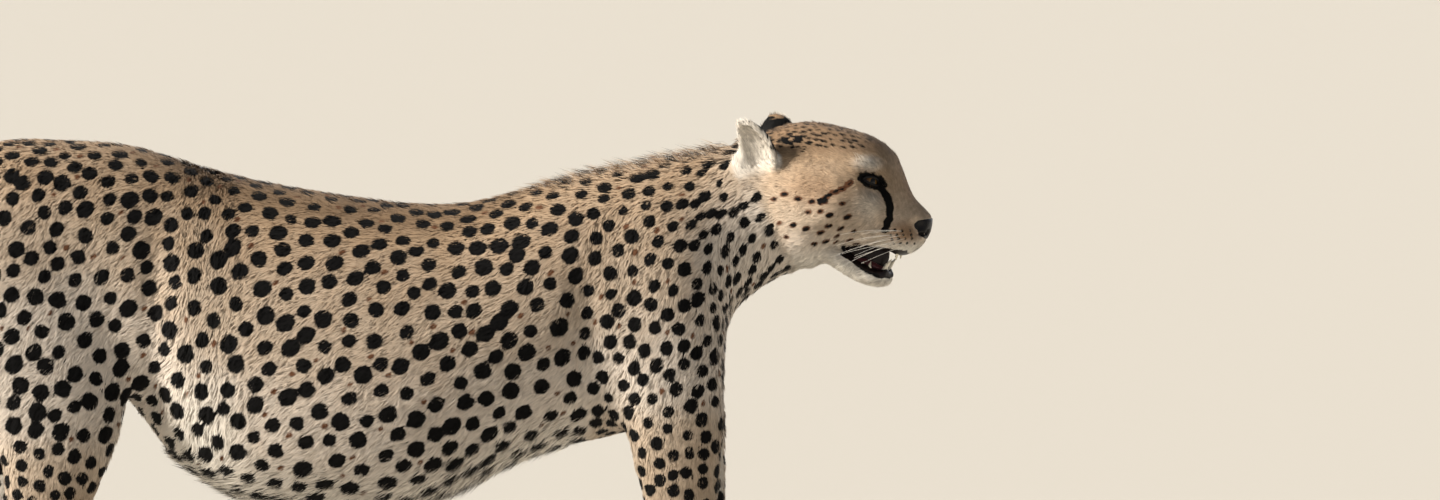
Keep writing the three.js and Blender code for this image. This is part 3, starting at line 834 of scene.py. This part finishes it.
def markings(at):
    """Shares and depths that the coat's colours are mixed from."""
    m, head = at.m, at.head
    edge = waves(at.q, 9, 21) + 5 * at.belly * waves(at.q, 1.7, 24)
    spots = body_spots.depth(at.q) + 0.5 * edge
    spots = blended(spots, (soft(head, 0.45, 0.65), NO_MARK))
    spots -= 9 * soft(near(mirrored(at.q), (450, 66, 752), (34, 44, 44)), 0.15, 0.6)
    cheek = cheek_flecks.depth(at.q)
    flecks = np.maximum(crown_flecks.depth(at.q), cheek - 1.0) + 0.5 * edge
    tear, tear_along = to_path(m, TEAR_LINE)
    streak, streak_along = to_path(m, EYE_STREAK)
    groove = np.hypot(m[:, 1], np.maximum(np.abs(m[:, 2] - 678) - 8, 0)) + 20 * (m[:, 0] < 640)
    pad = np.full(len(m), 9.0)
    on_pad = at.muzzle > 0
    gaps = m[on_pad][:, None, :] - WHISKER_ROOTS
    pad[on_pad] = np.min(np.linalg.norm(gaps, axis=2), axis=1)
    lip = np.minimum(to_path(m, UPPER_LIP)[0] + 0.6, to_path(m, LOWER_LIP)[0] - 2.2)
    lip = np.minimum(lip, np.linalg.norm((m - [616, 0, 652]) * [1, 0.25, 1], axis=1) - 9)
    outside, far = open_eye(at.local)
    eyelid = 5.0 - outside - 0.8 * np.maximum(far - EYE_RADIUS - 5, 0)
    # Tear line, streak behind the eye, lips, lids, groove below the nose, whisker roots.
    lines = np.maximum.reduce([
        4.0 + 0.8 * np.sin(3.1 * tear_along) - tear,
        0.2 + 3.4 * streak_along ** 2 - streak + waves(m, 6, 22),
        1.9 - lip, eyelid, 1.2 - groove, 1.5 - pad,
    ]) + 0.5 * edge
    lines = blended(NO_MARK, (soft(head, 0.4, 0.6), lines))
    # Black back of the ear, and a dark patch before its foot: painted shade of the ear's hollow.
    ear_back = at.ear * (1 - at.ear_inside)
    ear_patch = blended(NO_MARK, (ear_back > 0.3, 16 - np.abs(at.z - 799) + 2 * edge))
    from_foot = np.linalg.norm((m - [513, 50, 793]) / [2.4, 2.0, 1.0], axis=1)
    ragged = 4.5 * waves(m * [0.3, 0.6, 1.3], 4, 23)
    ear_patch = np.maximum(ear_patch, 7 - from_foot + edge + ragged)
    # Rings on the last half of the tail, up to its white tip.
    ring = np.sin(at.tail_along * 62) * 14 + 2 + 2 * edge
    rings = blended(NO_MARK, (at.tail > 0.5, ring))
    tip = soft(at.tail_along, 0.9, 0.92)
    rings = blended(rings, (tip, NO_MARK), (1 - soft(at.tail_along, 0.52, 0.6), NO_MARK))
    dark = np.maximum.reduce([
        spots * (1 - (at.tail > 0.5) * soft(at.tail_along, 0.5, 0.56)),
        flecks, lines, blended(NO_MARK, (head > 0.4, ear_patch)), rings])
    back = blended(
        soft(at.height, 0.12, 0.95),
        (at.neck, soft(at.z - (at.x - 400) * 0.9, 640, 780)),
        (at.leg, 0.5 + 0.25 * at.out),
        (at.tail, 0.45 + 0.35 * at.n[:, 2]),
        (head, soft(m[:, 2] + (m[:, 0] - 560) * 0.1, 645, 765)),
        (at.ear_inside, 0.0),
    )
    # Darker gold along the spine: the coat's own deeper tone, with painted shade where light only
    # grazes the top.
    spine = soft(at.height, 0.82, 1.0) * soft(at.x, -250, -130) * (1 - soft(at.x, 130, 280))
    back += 0.65 * spine + 0.45 * head * soft(m[:, 2], 766, 792)
    white = blended(
        0.0,
        (at.belly, 0.85),
        (at.fold, 0.95),
        (at.elbow, 0.5),
        (at.leg, 0.75 * soft(-at.out, 0.0, 0.7)),
        (at.tail * soft(at.tail_along, 0.5, 0.7), 0.6),
        (at.tail * tip, 1.0),
        (head, 1 - soft(m[:, 2] - (m[:, 0] - 540) * 0.08, 652, 686)),
        (at.muzzle, 1 - soft(m[:, 2], 672, 688)),
        (head * near(m, (598, 46, 724), (26, 30, 28)), 0.6),
        (head * near(m, (598, 44, 768), (24, 26, 13)), 0.9),
        (at.ear_inside, 0.85),
        (head * near(m, (470, 64, 760), (30, 34, 30)), 0.6),
    )
    # Browner tone on the whisker pad, crown and cheek; on the bridge and the front of the forehead
    # it is in part painted shade, for a face turned from the light.
    warm = head * np.maximum.reduce([
        1.3 * near(m, (634, 26, 692), (28, 28, 20)),
        0.35 * soft(m[:, 2], 770, 800),
        0.6 * near(m, (540, 60, 738), (50, 50, 30)),
        0.8 * near(m, (640, 0, 745), (34, 26, 50)),
    ])
    by_streak = blended(-6.0, (head > 0.4, 3.0 - streak + edge))
    dot = np.maximum.reduce([brown_dots.depth(at.q), cheek, by_streak])
    return {
        "dark": np.clip(dark, -6, 6), "dot": np.clip(dot, -6, 6),
        "back": np.clip(back, 0, 1.6), "white": np.clip(white, 0, 1),
        "warm": np.clip(warm, 0, 1),
    }


for name, values in markings(at).items():
    set_values(skin.data, name, values)
set_values(skin.data, "shade", np.zeros(len(points)))
# The skin takes the tone of the tufts' roots, darkened as painted shade below them.
set_values(skin.data, "along", np.full(len(points), 0.3))


# ======== Materials ========
def new_material(name):
    material = bpy.data.materials.new(name)
    material.use_nodes = True
    tree = material.node_tree
    return material, tree, tree.nodes["Principled BSDF"]


MARKS = ("dark", "dot", "back", "white", "warm", "shade", "along")
# A hair is too fine to show, so the grain is as coarse as a lock of hairs, 2.4 mm wide.
LOCKS_PER_METRE = 420.0
PATCHES_PER_METRE = 26.0  # patches of uneven ground colour, 38 mm wide


def coat_material(name, bump_height):
    """Cheetah hair: matt, a little pale sheen, golden on the back and near white below."""
    material, tree, shader = new_material(name)
    mark = {key: add(tree, "ShaderNodeAttribute", {"attribute_name": key}).outputs["Fac"]
            for key in MARKS}
    place = add(tree, "ShaderNodeTexCoord").outputs["Object"]
    locks, patches = (
        add(tree, "ShaderNodeTexNoise", {"Scale": scale, "Detail": 2.0}, {"Vector": place})
        for scale in (LOCKS_PER_METRE, PATCHES_PER_METRE))
    ragged = add(tree, "ShaderNodeMath", {"operation": "MULTIPLY_ADD", 1: 1.6, 2: -0.8},
                 {0: locks.outputs["Fac"]})
    edges = {key: add(tree, "ShaderNodeMath", {"operation": "ADD"},
                      {0: mark[key], 1: ragged.outputs[0]}).outputs[0]
             for key in ("dark", "dot")}
    uneven = add(tree, "ShaderNodeMath", {"operation": "MULTIPLY_ADD", 1: 0.4},
                 {0: patches.outputs["Fac"], 2: mark["back"]}).outputs[0]
    # Each colour is laid over the ones before it, by a share of 0 to 1 or, where limits are
    # given, as the value passes from the first limit to the second.
    ground = None
    for source, limits, code in (
        (uneven, (0.15, 0.75), "C5B39E"), (uneven, (0.7, 1.35), "AF967A"),
        # 8B7359, the darkest gold, lies along the spine, in part as painted shade.
        # AA8A6C, the browner tone, is in part painted shade on the bridge.
        (uneven, (1.2, 1.8), "8B7359"), (mark["warm"], None, "AA8A6C"),
        (mark["white"], None, "E9E3D8"), (edges["dot"], (-1.2, 0.8), "6E4A34"),
        (edges["dark"], (-0.9, 0.7), "050404"),
    ):
        if limits:
            source = add(tree, "ShaderNodeMapRange", {
                "interpolation_type": "SMOOTHSTEP", "From Min": limits[0], "From Max": limits[1],
            }, {"Value": source}).outputs["Result"]
        over = add(tree, "ShaderNodeMix", {"data_type": "RGBA", 7: linear(code)}, {0: source})
        if ground is None:
            over.inputs[6].default_value = linear("DACFC2")
        else:
            tree.links.new(ground, over.inputs[6])
        ground = over.outputs[2]
    # Tufts differ a little in lightness, and their roots lie in the shade of the others.
    lightness, tip_light = (
        add(tree, "ShaderNodeMath", {"operation": "MULTIPLY_ADD", 1: slope, 2: least},
            {0: mark[key]}).outputs[0]
        for key, slope, least in (("shade", 0.13, 1.0), ("along", 0.28, 0.80)))
    level = add(tree, "ShaderNodeMath", {"operation": "MULTIPLY"}, {0: lightness, 1: tip_light})
    toned = add(tree, "ShaderNodeHueSaturation", {}, {"Color": ground, "Value": level.outputs[0]})
    tree.links.new(toned.outputs["Color"], shader.inputs["Base Color"])
    for socket, value in (("Roughness", 0.72), ("Specular IOR Level", 0.15),
                          ("Sheen Weight", 0.05), ("Sheen Roughness", 0.5)):
        shader.inputs[socket].default_value = value
    if bump_height:
        bump = add(tree, "ShaderNodeBump", {"Strength": 0.5, "Distance": bump_height},
                   {"Height": locks.outputs["Fac"]})
        tree.links.new(bump.outputs["Normal"], shader.inputs["Normal"])
    return material


under_hair = coat_material("short_under_hair", bump_height=0.4 * MM)
hair = coat_material("cheetah_hair", bump_height=0)
finish_piece(skin, under_hair, FLESH)


def plain_material(name, colour, roughness, wet=0.0, grain=None, variety=0.0):
    """A moist or horny surface: how wet it is, grain as (size, height) in mm, variety of tone."""
    material, tree, shader = new_material(name)
    for socket, value in (("Roughness", roughness), ("Specular IOR Level", 0.25),
                          ("Coat Weight", wet), ("Coat Roughness", 0.12)):
        shader.inputs[socket].default_value = value
    place = add(tree, "ShaderNodeTexCoord").outputs["Object"]
    # Clouds of tone about 6 mm wide.
    cloud = add(tree, "ShaderNodeTexNoise", {"Scale": 160.0, "Detail": 3.0}, {"Vector": place})
    tones = add(tree, "ShaderNodeMix", {
        "data_type": "RGBA", 6: linear(colour),
        7: tuple(c * (1 - variety) for c in linear(colour)[:3]) + (1,),
    }, {0: cloud.outputs["Fac"]})
    tree.links.new(tones.outputs[2], shader.inputs["Base Color"])
    if grain:
        size, height = grain
        cells = add(tree, "ShaderNodeTexVoronoi", {"Scale": 1 / (size * MM)}, {"Vector": place})
        bump = add(tree, "ShaderNodeBump", {"Strength": 0.6, "Distance": height * MM},
                   {"Height": cells.outputs["Distance"]})
        tree.links.new(bump.outputs["Normal"], shader.inputs["Normal"])
    return material


# ======== Eyes and lids ========
def eye_material():
    """Moist eye: round black pupil, amber iris with fine rays, dark rim; the iris darkened in part
    as painted shade.
    """
    material, tree, shader = new_material("amber_eye")
    far = add(tree, "ShaderNodeAttribute", {"attribute_name": "from_pupil"}).outputs["Fac"]
    place = add(tree, "ShaderNodeTexCoord").outputs["Object"]
    # Rays about 1 mm wide fray the edges between the rings.
    rays = add(tree, "ShaderNodeTexNoise", {"Scale": 900.0, "Detail": 2.0}, {"Vector": place})
    frayed = add(tree, "ShaderNodeMath", {"operation": "MULTIPLY_ADD", 1: 1.2},
                 {0: rays.outputs["Fac"], 2: far})
    ramp = add(tree, "ShaderNodeMapRange", {"From Min": 0.0, "From Max": 16.0},
               {"Value": frayed.outputs[0]})
    tones = add(tree, "ShaderNodeValToRGB", {}, {"Fac": ramp.outputs["Result"]})
    stops = tones.color_ramp.elements
    stops[0].position, stops[0].color = 0.0, linear("050403")
    stops[1].position, stops[1].color = 1.0, linear("120A06")
    for position, code in (
        (0.235, "050403"), (0.27, "6E5022"), (0.42, "583B18"), (0.55, "33200D"), (0.62, "150C07"),
    ):
        stops.new(position).color = linear(code)
    tree.links.new(tones.outputs["Color"], shader.inputs["Base Color"])
    for socket, value in (("Roughness", 0.3), ("Specular IOR Level", 0.1),
                          ("Coat Weight", 1.0), ("Coat Roughness", 0.02), ("Coat IOR", 1.34)):
        shader.inputs[socket].default_value = value
    return material


CORNEA_ANGLE = 0.62  # from the gaze to the cornea's edge, in radians
CORNEA_RISE = 0.075  # of the ball's radius


def eyeball(name, side):
    """A ball with a bulging cornea that looks along the gaze."""
    bm = bmesh.new()
    bmesh.ops.create_uvsphere(bm, u_segments=48, v_segments=40, radius=EYE_RADIUS - 0.2)
    gaze = Vector(GAZE * [1, side, 1])
    bmesh.ops.rotate(bm, verts=bm.verts, cent=(0, 0, 0),
                     matrix=gaze.to_track_quat("Z", "Y").to_matrix())
    piece = object_from(bm, name)
    ball = coordinates(piece.data)
    angle = np.arccos(np.clip(unit(ball) @ unit(GAZE * [1, side, 1]), -1, 1))
    ball *= 1 + CORNEA_RISE * np.clip(1 - (angle / CORNEA_ANGLE) ** 2, 0, 1)[:, None]
    set_coordinates(piece.data, centred(from_head(ball + EYE_CENTRE * [1, side, 1])))
    set_values(piece.data, "from_pupil", angle * EYE_RADIUS)
    return piece


def tube(bm, places, radii, sides=8, flat=1.0):
    """A closed, tapering rod along the places (drawing mm), by extruding a ring of vertices."""
    spots = [Vector(centred(np.asarray(place))) for place in places]
    ring = None
    for i, spot in enumerate(spots):
        ahead = (spots[min(i + 1, len(spots) - 1)] - spots[max(i - 1, 0)]).normalized()
        turn = ahead.to_track_quat("Z", "Y").to_matrix().to_4x4()
        if ring is None:
            made = bmesh.ops.create_circle(bm, cap_ends=True, segments=sides, radius=1)
            ring = made["verts"]
            flat_ring = [v.co.copy() for v in ring]
        else:
            rim = [e for v in ring for e in v.link_edges if e.other_vert(v) in ring]
            grown = bmesh.ops.extrude_edge_only(bm, edges=list(set(rim)))["geom"]
            fresh = [g for g in grown if isinstance(g, bmesh.types.BMVert)]
            above = {e.other_vert(v): v for v in fresh for e in v.link_edges
                     if e.other_vert(v) in ring}
            ring = [above[v] for v in ring]
        for v, base in zip(ring, flat_ring):
            local = Vector((base.x * radii[i] * MM, base.y * radii[i] * MM * flat, 0))
            v.co = turn @ local + spot
    bmesh.ops.contextual_create(bm, geom=ring)


def lid_rim(name, side):
    """The dark, moist edge of both lids."""
    bm = bmesh.new()
    share = np.linspace(-1, 1, 23)
    u = LID_HALF * np.sin(share * math.pi / 2)
    for rise in (LID_RISE[0], -LID_RISE[1]):
        v = rise * lid_height(u)
        long_part, high_part = np.sin(u / EYE_RADIUS), np.sin(v / EYE_RADIUS)
        front_part = np.sqrt(1 - long_part ** 2 - high_part ** 2)
        way = (long_part[:, None] * EYE_LONG + high_part[:, None] * EYE_HIGH
               + front_part[:, None] * unit(GAZE))
        places = from_head((EYE_CENTRE + way * (EYE_RADIUS + 1.2)) * [1, side, 1])
        tube(bm, places, np.full(len(u), 1.3))
    bmesh.ops.recalc_face_normals(bm, faces=bm.faces)
    return object_from(bm, name)


# Bare, creased skin of the lids' edges: black and hardly moist.
lid_skin = plain_material("black_lid_skin", "0B0706", 0.5, 0.05, (0.8, 0.1), 0.3)
amber_eye = eye_material()
for side, word in ((-1, "right"), (1, "left")):
    finish_piece(eyeball("eyeball_" + word, side), amber_eye, ["eye_" + word])
    finish_piece(lid_rim("lid_rim_" + word, side), lid_skin)


# ======== Nose leather, mouth, tongue and teeth ========
def patch(name, chosen, lift):
    """A thin layer over part of the skin, its border evened out and sunk in."""
    bm = bmesh.new()
    bm.from_mesh(skin.data)
    bm.verts.ensure_lookup_table()
    rest = [f for f in bm.faces if not all(chosen[v.index] for v in f.verts)]
    bmesh.ops.delete(bm, geom=rest, context="FACES")
    border = {v for e in bm.edges if e.is_boundary for v in e.verts}
    for _ in range(8):
        middle = {}
        for v in border:
            ends = [e.other_vert(v).co for e in v.link_edges if e.is_boundary]
            middle[v] = sum(ends, Vector()) / len(ends)
        for v, place in middle.items():
            v.co = v.co.lerp(place, 0.6)
    bm.normal_update()
    lifted = [(v, v.co + v.normal * (-0.5 if v in border else lift) * MM) for v in bm.verts]
    for v, place in lifted:
        v.co = place
    for layer in list(bm.verts.layers.float.values()):
        bm.verts.layers.float.remove(layer)
    return object_from(bm, name)


# Pebbled nose leather, black with a dull gleam; mucous skin of the mouth, dark and moist, its
# darkness in part painted shade of the mouth's inside.
leather = plain_material("black_nose_leather", "0D0908", 0.45, 0.1, (1.1, 0.22), 0.4)
mouth_skin_and_shade = plain_material("moist_mouth_skin_painted_shade", "190B0A", 0.5, 0.1, (1.6, 0.15), 0.6)
finish_piece(patch("nose_leather", nose_depth(at.m) > 0, 0.7), leather)
finish_piece(patch("mouth_lining", in_mouth(at), 0.35), mouth_skin_and_shade)


def ball(bm, place, radii, lean=0.0, parts=(24, 16)):
    """An ellipsoid in the head's frame, leaned nose down by the angle in degrees."""
    made = bmesh.ops.create_uvsphere(bm, u_segments=parts[0], v_segments=parts[1], radius=1)
    matrix = (
        Matrix.Translation(Vector(centred(from_head(np.asarray(place, float)))))
        @ Matrix.Rotation(HEAD_YAW, 4, "Z")
        @ Matrix.Rotation(math.radians(lean), 4, "Y")
        @ Matrix.Diagonal((radii[0] * MM, radii[1] * MM, radii[2] * MM, 1))
    )
    bmesh.ops.transform(bm, matrix=matrix, verts=made["verts"])
    return made["verts"]


# The back of the open mouth, closed in the dark mouth skin as painted shade of its depth.
bm = bmesh.new()
ball(bm, (576, 0, 672), (25, 14, 18), 10)
ball(bm, (596, 0, 667), (20, 9, 22), 10)
finish_piece(object_from(bm, "gullet_painted_shade"), mouth_skin_and_shade)

bm = bmesh.new()
ball(bm, (588, 0, 659), (27, 14.5, 6), 22, (32, 20))
tongue = object_from(bm, "tongue_body")
tongue_places = in_head(drawn(coordinates(tongue.data)))
groove = np.exp(-(tongue_places[:, 1] / 3) ** 2) * 1.6
tongue_places[:, 2] -= groove
set_coordinates(tongue.data, centred(from_head(tongue_places)))
# A tongue set with small hooks: dull pink darkened by painted shade of the mouth, wet, with a rough
# grain.
tongue_skin = plain_material("rough_tongue_in_painted_shade", "613437", 0.45, 0.2, (1.0, 0.3), 0.3)
finish_piece(tongue, tongue_skin, ["tongue"])

bm = bmesh.new()
for side in (-1, 1):
    lower = [(608.5, 10.5, 643), (611.5, 11.5, 649.5), (615.5, 13, 656), (620.5, 14.5, 662)]
    upper = [(627, 14, 690), (628, 14.5, 681), (627.5, 15.3, 672), (625.5, 15.6, 662)]
    for line, thick in ((lower, 3.4), (upper, 3.7)):
        sizes = (thick, 0.95 * thick, 0.72 * thick, 0.16 * thick)
        tube(bm, from_head(np.array(line) * [1, side, 1]), sizes, 16)
    for place in (2, 5.5, 9):
        back = 0.05 * place ** 2
        low_front = [(616 - back, place * 0.9, 642), (617 - back, place * 0.9, 648)]
        high_front = [(639 - back, place, 684), (639 - back, place, 676)]
        for line in (low_front, high_front):
            tube(bm, from_head(np.array(line) * [1, side, 1]), (1.9, 1.5), 8)
    for x, size in ((597, 3.6), (589, 3.4)):
        tube(bm, from_head(np.array([(x, 18, 648), (x, 18, 656), (x + 1, 18, 660)])
                           * [1, side, 1]), (size, size * 0.9, 0.8), 10, 0.5)
bmesh.ops.recalc_face_normals(bm, faces=bm.faces)
# Tooth enamel: ivory, smooth and glossy with spittle.
enamel = plain_material("ivory_tooth", "EFE6D2", 0.28, 0.4, variety=0.12)
finish_piece(object_from(bm, "teeth"), enamel)


# ======== Claws, pads and whiskers ========
# Heel and middle line of each paw, its length and its width.
PAWS = ((370, -54, 96, 62), (404, 54, 96, 62), (-362, -60, 98, 58), (-436, 60, 98, 58))
TOE_PAD = (0.0105, 0.0062, 0.0046)  # half its length, width and height, in metres
# The two lobes of the middle pad: share of the paw's length, and half sizes in metres.
HEEL_PADS = ((0.36, (0.017, 0.012, 0.005)), (0.30, (0.012, 0.019, 0.005)))


def foot_pad(bm, place, size, parts):
    """A flattened ball under a paw, at a place in drawing mm."""
    made = bmesh.ops.create_uvsphere(bm, u_segments=parts[0], v_segments=parts[1], radius=1)
    bmesh.ops.transform(bm, verts=made["verts"], matrix=Matrix.Translation(
        Vector(centred(place))) @ Matrix.Diagonal((*size, 1)))


claw_bm, pad_bm = bmesh.new(), bmesh.new()
for heel, middle, length, width in PAWS:
    for place in (-1.5, -0.5, 0.5, 1.5):
        reach = heel + length * (0.85 if abs(place) < 1 else 0.76)
        across = middle + place * width / 4.4
        tip = reach + length * 0.13
        tube(claw_bm, [
            (tip - 5, across, 15), (tip + 2, across + 0.2 * place, 16),
            (tip + 7, across + 0.6 * place, 12.5), (tip + 9.5, across + place, 7),
        ], (2.7, 2.8, 2.1, 0.7), 10, 0.75)
        foot_pad(pad_bm, (reach - 1, across, 4.6), TOE_PAD, (16, 10))
    for share, size in HEEL_PADS:
        foot_pad(pad_bm, (heel + length * share, middle, 5.0), size, (24, 12))
    if heel > 0:
        inner = middle - math.copysign(19, middle)
        tube(claw_bm, [
            (heel + 30, inner, 103), (heel + 36, inner - math.copysign(2, middle), 100),
            (heel + 39, inner - math.copysign(2, middle), 94),
            (heel + 39, inner - math.copysign(1, middle), 89),
        ], (2.8, 2.7, 1.9, 0.6), 10, 0.7)
# Claw horn: brown, smooth and a little glossy. Pad skin: thick, black-brown, dry and cracked.
claw_horn = plain_material("dark_claw_horn", "4A3A2C", 0.35, 0.2, variety=0.5)
pad_skin = plain_material("rough_pad_skin", "2B211D", 0.7, 0, (1.4, 0.3), 0.4)
for made_bm, name, material, slot in (
    (claw_bm, "claws", claw_horn, "claw"), (pad_bm, "pads", pad_skin, "pad_skin"),
):
    bmesh.ops.recalc_face_normals(made_bm, faces=made_bm.faces)
    finish_piece(object_from(made_bm, name), material)

bm = bmesh.new()
whisker_numbers = np.random.default_rng(31)
for side in (-1, 1):
    for row in range(4):
        for place in range(4):
            root = WHISKER_ROOTS[4 * row + place] * [1, side, 1]
            span = whisker_numbers.uniform(36, 58) - 6 * row + 4 * place
            way = unit(np.array([-0.85, side * 0.55, -0.14 + 0.09 * row])
                       + whisker_numbers.normal(size=3) * 0.08)
            drop = np.array([-0.3, 0, -0.34])
            line = [root + way * span * t + drop * span * 0.5 * t * t
                    for t in (-0.02, 0.25, 0.5, 0.75, 1.0)]
            tube(bm, from_head(np.array(line)), (0.28, 0.25, 0.2, 0.14, 0.06), 5)
    for place in range(3):
        root = on_side(588 + 6 * place, 769) * [1, side, 1]
        way = unit(np.array([0.2 - 0.3 * place, side * 0.7, 0.75]))
        line = [root + way * 17 * t + np.array([-5, 0, 0]) * t * t for t in (-0.04, 0.35, 0.7, 1)]
        tube(bm, from_head(np.array(line)), (0.28, 0.22, 0.15, 0.06), 5)
bmesh.ops.recalc_face_normals(bm, faces=bm.faces)
# Stiff white hair, smoother than the coat's.
white_hair = plain_material("white_whisker", "F1ECE2", 0.45, variety=0.1)
finish_piece(object_from(bm, "whiskers"), white_hair)


# ======== Coat: thin overlapping tufts ========
TUFTS = 490000
TUFTS_IN_A_PIECE = 66000  # of three triangles each, which keeps a piece under 200,000


def unwrapped(piece):
    """Gives the skin a flat map of its own shape and returns its corners."""
    bpy.context.view_layer.objects.active = piece
    piece.select_set(True)
    bpy.ops.object.mode_set(mode="EDIT")
    bpy.ops.mesh.select_all(action="SELECT")
    bpy.ops.uv.smart_project(angle_limit=math.radians(66), island_margin=0.0)
    bpy.ops.object.mode_set(mode="OBJECT")
    piece.select_set(False)
    return array_of(piece.data.uv_layers.active.data, "uv", 2).reshape(-1, 3, 2)


def tuft_width(at):
    """Width of a tuft at its root, in mm."""
    return blended(
        1.55,
        (at.belly, 1.35), (at.crest, 1.3), (at.elbow, 1.3), (at.leg, 1.2), (at.paw, 0.9),
        (at.head, 1.0), (at.muzzle, 0.75), (at.ear, 0.9),
    )


def hairless(at):
    """True where no hair grows."""
    outside, far = open_eye(at.local)
    eye = (at.head > 0.5) & (outside < 0.9) & (far < EYE_RADIUS + 10)
    leather_here = (at.head > 0.5) & (nose_depth(at.m) > -0.05)
    sole = (at.z < 5) & (at.n[:, 2] < -0.3)
    return eye | leather_here | sole | in_mouth(at)


def tuft_mesh(name, root, normal, way, length, width, slope, uv, values):
    """A joined mesh of blades: two points at the root, two half way up and one at the tip."""
    count = len(root)
    numbers = np.random.default_rng(len(name) + count)
    side = unit(np.cross(normal, way))
    roll = numbers.normal(size=(count, 1)) * 0.25
    side = unit(side * np.cos(roll) + normal * np.sin(roll))
    steep = np.radians(slope * 1.35)[:, None]
    level = np.radians(slope * 0.55)[:, None]
    size = (length * MM)[:, None]
    wide = (width * MM / 2)[:, None] * side
    middle = root + size * 0.5 * (way * np.cos(steep) + normal * np.sin(steep))
    tip = middle + size * 0.5 * (way * np.cos(level) + normal * np.sin(level))
    foot = root - normal * 0.5 * MM
    corners = np.stack([foot + wide, foot - wide, middle + wide * 0.8, middle - wide * 0.8, tip], 1)
    faces = np.array([0, 1, 3, 2, 2, 3, 4])  # a face of four corners and one of three
    mesh = bpy.data.meshes.new(name)
    mesh.vertices.add(5 * count)
    mesh.loops.add(7 * count)
    mesh.polygons.add(2 * count)
    firsts = np.arange(count)[:, None]
    for items, field, data, kind in (
        (mesh.vertices, "co", corners, np.float32),
        (mesh.loops, "vertex_index", firsts * 5 + faces, np.int32),
        (mesh.polygons, "loop_start", firsts * 7 + np.array([0, 4]), np.int32),
    ):
        items.foreach_set(field, data.astype(kind).ravel())
    mesh.update(calc_edges=True)
    blade = unit(np.cross(way, side) * -1)
    blade *= np.sign(np.sum(blade * normal, axis=1, keepdims=True))
    shading = unit(0.7 * normal + 0.3 * blade)
    # The map's patch of a tuft, 0.003 across, about its root's place on the skin's own map.
    patch_uv = np.array([[-1.5, -1.5], [1.5, -1.5], [-1.2, 0.2], [1.2, 0.2], [0, 1.5]]) * 0.001
    uv_layer = mesh.uv_layers.new(name="OFBake")
    uv_layer.data.foreach_set(
        "uv", (uv[:, None, :] + patch_uv[faces][None]).astype(np.float32).ravel())
    for key, value in values.items():
        set_values(mesh, key, value[:, [0, 0, 1, 1, 2]].ravel())
    set_values(mesh, "along", np.tile([0.0, 0.0, 0.55, 0.55, 1.0], count))
    mesh.polygons.foreach_set("use_smooth", np.ones(2 * count, bool))
    mesh.normals_split_custom_set_from_vertices(np.repeat(shading, 5, axis=0).tolist())
    return object_from(mesh, name)


corner_uv = unwrapped(skin)
surface = Surface(skin.data)
at = Places(drawn(surface.points), surface.normals)
crowding = (1 - hairless(at)) / (hair_length(at) * tuft_width(at)) ** 0.9
rows, shares = surface.picked(TUFTS, crowding, seed=41)
roots = surface.between(surface.points, rows, shares)
root_normals = unit(surface.between(surface.normals, rows, shares))
root_uv = np.einsum("ij,ijk->ik", shares, corner_uv[rows])
at = Places(drawn(roots), root_normals)
grows = ~hairless(at)
roots, root_normals, root_uv = roots[grows], root_normals[grows], root_uv[grows]
at = Places(drawn(roots), root_normals)
way = hair_way(at)
side = np.cross(root_normals, way)
swing = np.radians(9 * waves(at.q, 46, 51) + 11 * waves(at.q, 11, 52)
                   + 6 * random_numbers.normal(size=len(roots)))
swing *= blended(1.0, (at.head, 1.25), (at.muzzle, 0.5))
way = way * np.cos(swing)[:, None] + side * np.sin(swing)[:, None]
tuft_length = hair_length(at) * (1 + 0.16 * random_numbers.normal(size=len(roots)).clip(-2, 2))
slope = hair_slope(at) * (1 + 0.25 * waves(at.q, 13, 53) * 0.6
                          + 0.18 * random_numbers.normal(size=len(roots)))
slope = np.clip(slope, 5, 60)


def over_skin(share):
    """The markings of the skin that lies below this share of each tuft."""
    reach = tuft_length * np.cos(np.radians(slope)) * share
    return markings(Places(at.q + way * reach[:, None], at.n))


STATIONS = (0.12, 0.5, 0.88)  # shares of a tuft where its root, middle and tip are coloured
stations = [over_skin(share) for share in STATIONS]
values = {key: np.stack([part[key] for part in stations], axis=1) for key in stations[0]}
shade = random_numbers.normal(size=len(roots)).clip(-2, 2) * 0.5 + 0.5 * waves(at.q, 7, 54)
shade += at.head * (0.8 * waves(at.q, 4.5, 55) + 0.3 * random_numbers.normal(size=len(roots)))
values["shade"] = np.repeat(shade[:, None], 3, axis=1)
width = tuft_width(at) * random_numbers.uniform(0.75, 1.2, len(roots))
right = at.y < 0
regions = {
    "coat_head": at.head > 0.5,
    "coat_tail": at.tail > 0.5,
    "coat_fore_legs": at.fore > 0.5,
    "coat_hind_legs": at.hind > 0.5,
    "coat_neck": at.neck > 0.5,
    "coat_body": np.ones(len(roots), bool),
}
left_over = np.ones(len(roots), bool)
for name, chosen in regions.items():
    for word, half in (("right", right), ("left", ~right)):
        picked = np.flatnonzero(chosen & half & left_over)
        parts = max(1, math.ceil(len(picked) / TUFTS_IN_A_PIECE))
        picked = picked[np.argsort(at.x[picked], kind="stable")]
        for number, part in enumerate(np.array_split(picked, parts)):
            label = f"{name}_{word}" + (f"_{number + 1}" if parts > 1 else "")
            piece = tuft_mesh(
                label, roots[part], root_normals[part], way[part], tuft_length[part],
                width[part], slope[part], root_uv[part],
                {key: value[part] for key, value in values.items()})
            finish_piece(piece, hair)
    left_over &= ~chosen


# ======== Floor ========
bm = bmesh.new()
bmesh.ops.create_grid(bm, x_segments=1, y_segments=1, size=60)
floor = object_from(bm, "floor")
# Matt emulsion paint on a smooth floor: pale, with next to no gloss.
floor.data.materials.append(plain_material("pale_matt_floor", "C9C3B7", 0.9, variety=0.02))
